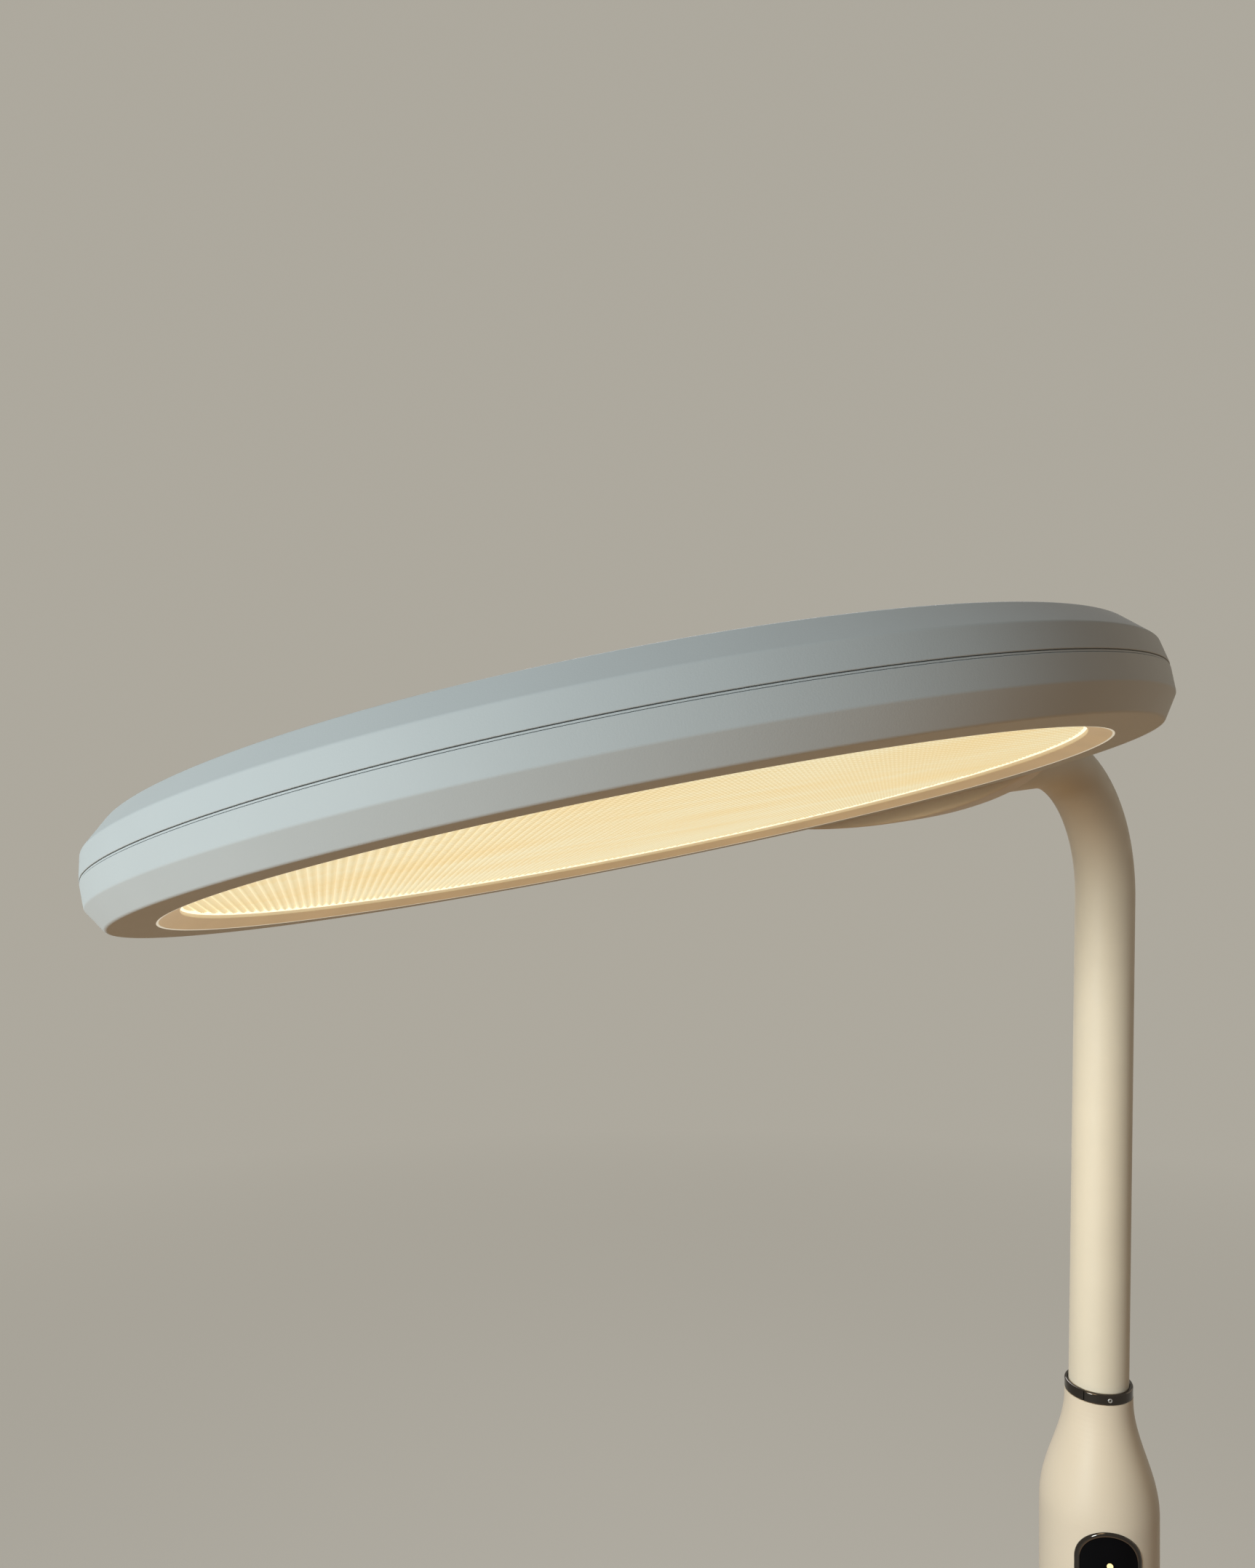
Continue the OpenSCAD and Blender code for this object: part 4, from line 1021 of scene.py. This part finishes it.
BACKDROP = (0.42, 0.395, 0.34)
FLOOR = (0.84, 0.80, 0.72)
FLOOR_BOUNCE = (0.33, 0.19, 0.08)
FLOOR_ROUGHNESS = 0.85
FLOOR_HALF = 60
FADE_START = 0.5
FADE_NEAR = 0.8
FADE_FAR = 4.0
WORLD_LIGHT = (1.0, 0.93, 0.84)
WORLD_STRENGTH = 0.13


def seen_directly(tree):
    """1 for rays from the camera, a reflection or a clear piece, 0 for light on its way to a surface."""
    path = tree.nodes.new("ShaderNodeLightPath")
    seen = path.outputs["Is Camera Ray"]
    for other in ("Is Glossy Ray", "Is Transmission Ray"):
        seen = combined(tree, "MAXIMUM", seen, path.outputs[other])
    return seen


def stage_floor():
    """A plain floor that fades into the backdrop's colour away from the lamp and throws back warm light."""
    material, tree, shader = node_material("floor")
    vector = object_coordinates(tree)
    seen = seen_directly(tree)
    tree.links.new(between(tree, seen, FLOOR_BOUNCE, FLOOR), shader.inputs["Base Color"])
    shader.inputs["Roughness"].default_value = FLOOR_ROUGHNESS
    length = tree.nodes.new("ShaderNodeVectorMath")
    length.operation = "LENGTH"
    tree.links.new(vector, length.inputs[0])
    far = tree.nodes.new("ShaderNodeEmission")
    far.inputs["Color"].default_value = (*BACKDROP, 1)
    fade = tree.nodes.new("ShaderNodeMixShader")
    distance = spread(tree, length.outputs["Value"], FADE_START, 1, FADE_NEAR, FADE_FAR)
    tree.links.new(combined(tree, "MULTIPLY", distance, seen), fade.inputs["Fac"])
    tree.links.new(shader.outputs["BSDF"], fade.inputs[1])
    tree.links.new(far.outputs["Emission"], fade.inputs[2])
    tree.links.new(fade.outputs["Shader"], tree.nodes["Material Output"].inputs["Surface"])
    mesh = bpy.data.meshes.new("floor")
    corners = [(x * FLOOR_HALF, y * FLOOR_HALF, 0) for x, y in ((-1, -1), (1, -1), (1, 1), (-1, 1))]
    mesh.from_pydata(corners, [], [(0, 1, 2, 3)])
    mesh.materials.append(material)
    new_object("floor", mesh)


def stage_world():
    """Soft light from all round; the camera and reflections see the plain backdrop."""
    world = bpy.data.worlds.new("studio")
    bpy.context.scene.world = world
    world.use_nodes = True
    tree = world.node_tree
    light = tree.nodes["Background"]
    light.inputs["Color"].default_value = (*WORLD_LIGHT, 1)
    light.inputs["Strength"].default_value = WORLD_STRENGTH
    seen = tree.nodes.new("ShaderNodeBackground")
    seen.inputs["Color"].default_value = (*BACKDROP, 1)
    mix = tree.nodes.new("ShaderNodeMixShader")
    tree.links.new(seen_directly(tree), mix.inputs["Fac"])
    tree.links.new(light.outputs["Background"], mix.inputs[1])
    tree.links.new(seen.outputs["Background"], mix.inputs[2])
    tree.links.new(mix.outputs["Shader"], tree.nodes["World Output"].inputs["Surface"])


# Studio lamps: place, target, size, power and colour, in metres and watts; shine is the head's own light

SHINE_GAP = 3 * MM
SHINE_REACH = 1.0
shine_place = head_matrix @ Vector((0, 0, -HEAD_DOWN - SHINE_GAP))
shine_target = head_matrix @ Vector((0, 0, -HEAD_DOWN - SHINE_REACH))
LAMPS = {
    "key": ((-1.65, -2.15, 1.36), (-0.15, -0.2, 1.2), 0.7, 43, (0.84, 0.97, 1.0)),
    "bounce": ((-0.1, -0.5, 0.1), (-0.17, -0.24, 1.2), 1.0, 1.1, (1.0, 0.53, 0.20)),
    "shine": (shine_place, shine_target, 0.2, 0.8, (1.0, 0.78, 0.50)),
    "fill": ((1.7, 0.8, 1.5), (0, 0, 1.0), 1.5, 4, (1.0, 0.85, 0.62)),
    "top": ((-0.5, 2.0, 2.7), (-0.1, -0.1, 1.1), 1.6, 30, (0.97, 0.98, 1.0)),
}


def area_lamp(name, place, target, size, power, colour):
    light = bpy.data.lights.new(name, "AREA")
    light.shape = "DISK"
    light.size = size
    light.energy = power
    light.color = colour
    lamp = new_object(name, light)
    lamp.location = place
    lamp.rotation_euler = (Vector(target) - Vector(place)).to_track_quat("-Z", "Y").to_euler()
    lamp.visible_camera = False
    return lamp


def photo_camera():
    data = bpy.data.cameras.new("camera")
    data.sensor_fit = "AUTO"
    data.sensor_width = SENSOR
    data.lens = SENSOR * FOCAL_PX / IMAGE_HEIGHT_PX
    data.clip_start = CLIP_START
    camera = new_object("camera", data)
    camera.location = CAMERA_PLACE
    camera.rotation_euler = (CAMERA_LEVEL, 0, CAMERA_TURN)
    bpy.context.scene.camera = camera


stage_floor()
stage_world()
lamps = {name: area_lamp(name, *values) for name, values in LAMPS.items()}
lamps["shine"].parent = lit_rim
lamps["shine"].matrix_parent_inverse = lit_rim.matrix_world.inverted()
photo_camera()

bpy.context.scene.view_settings.view_transform = "Standard"
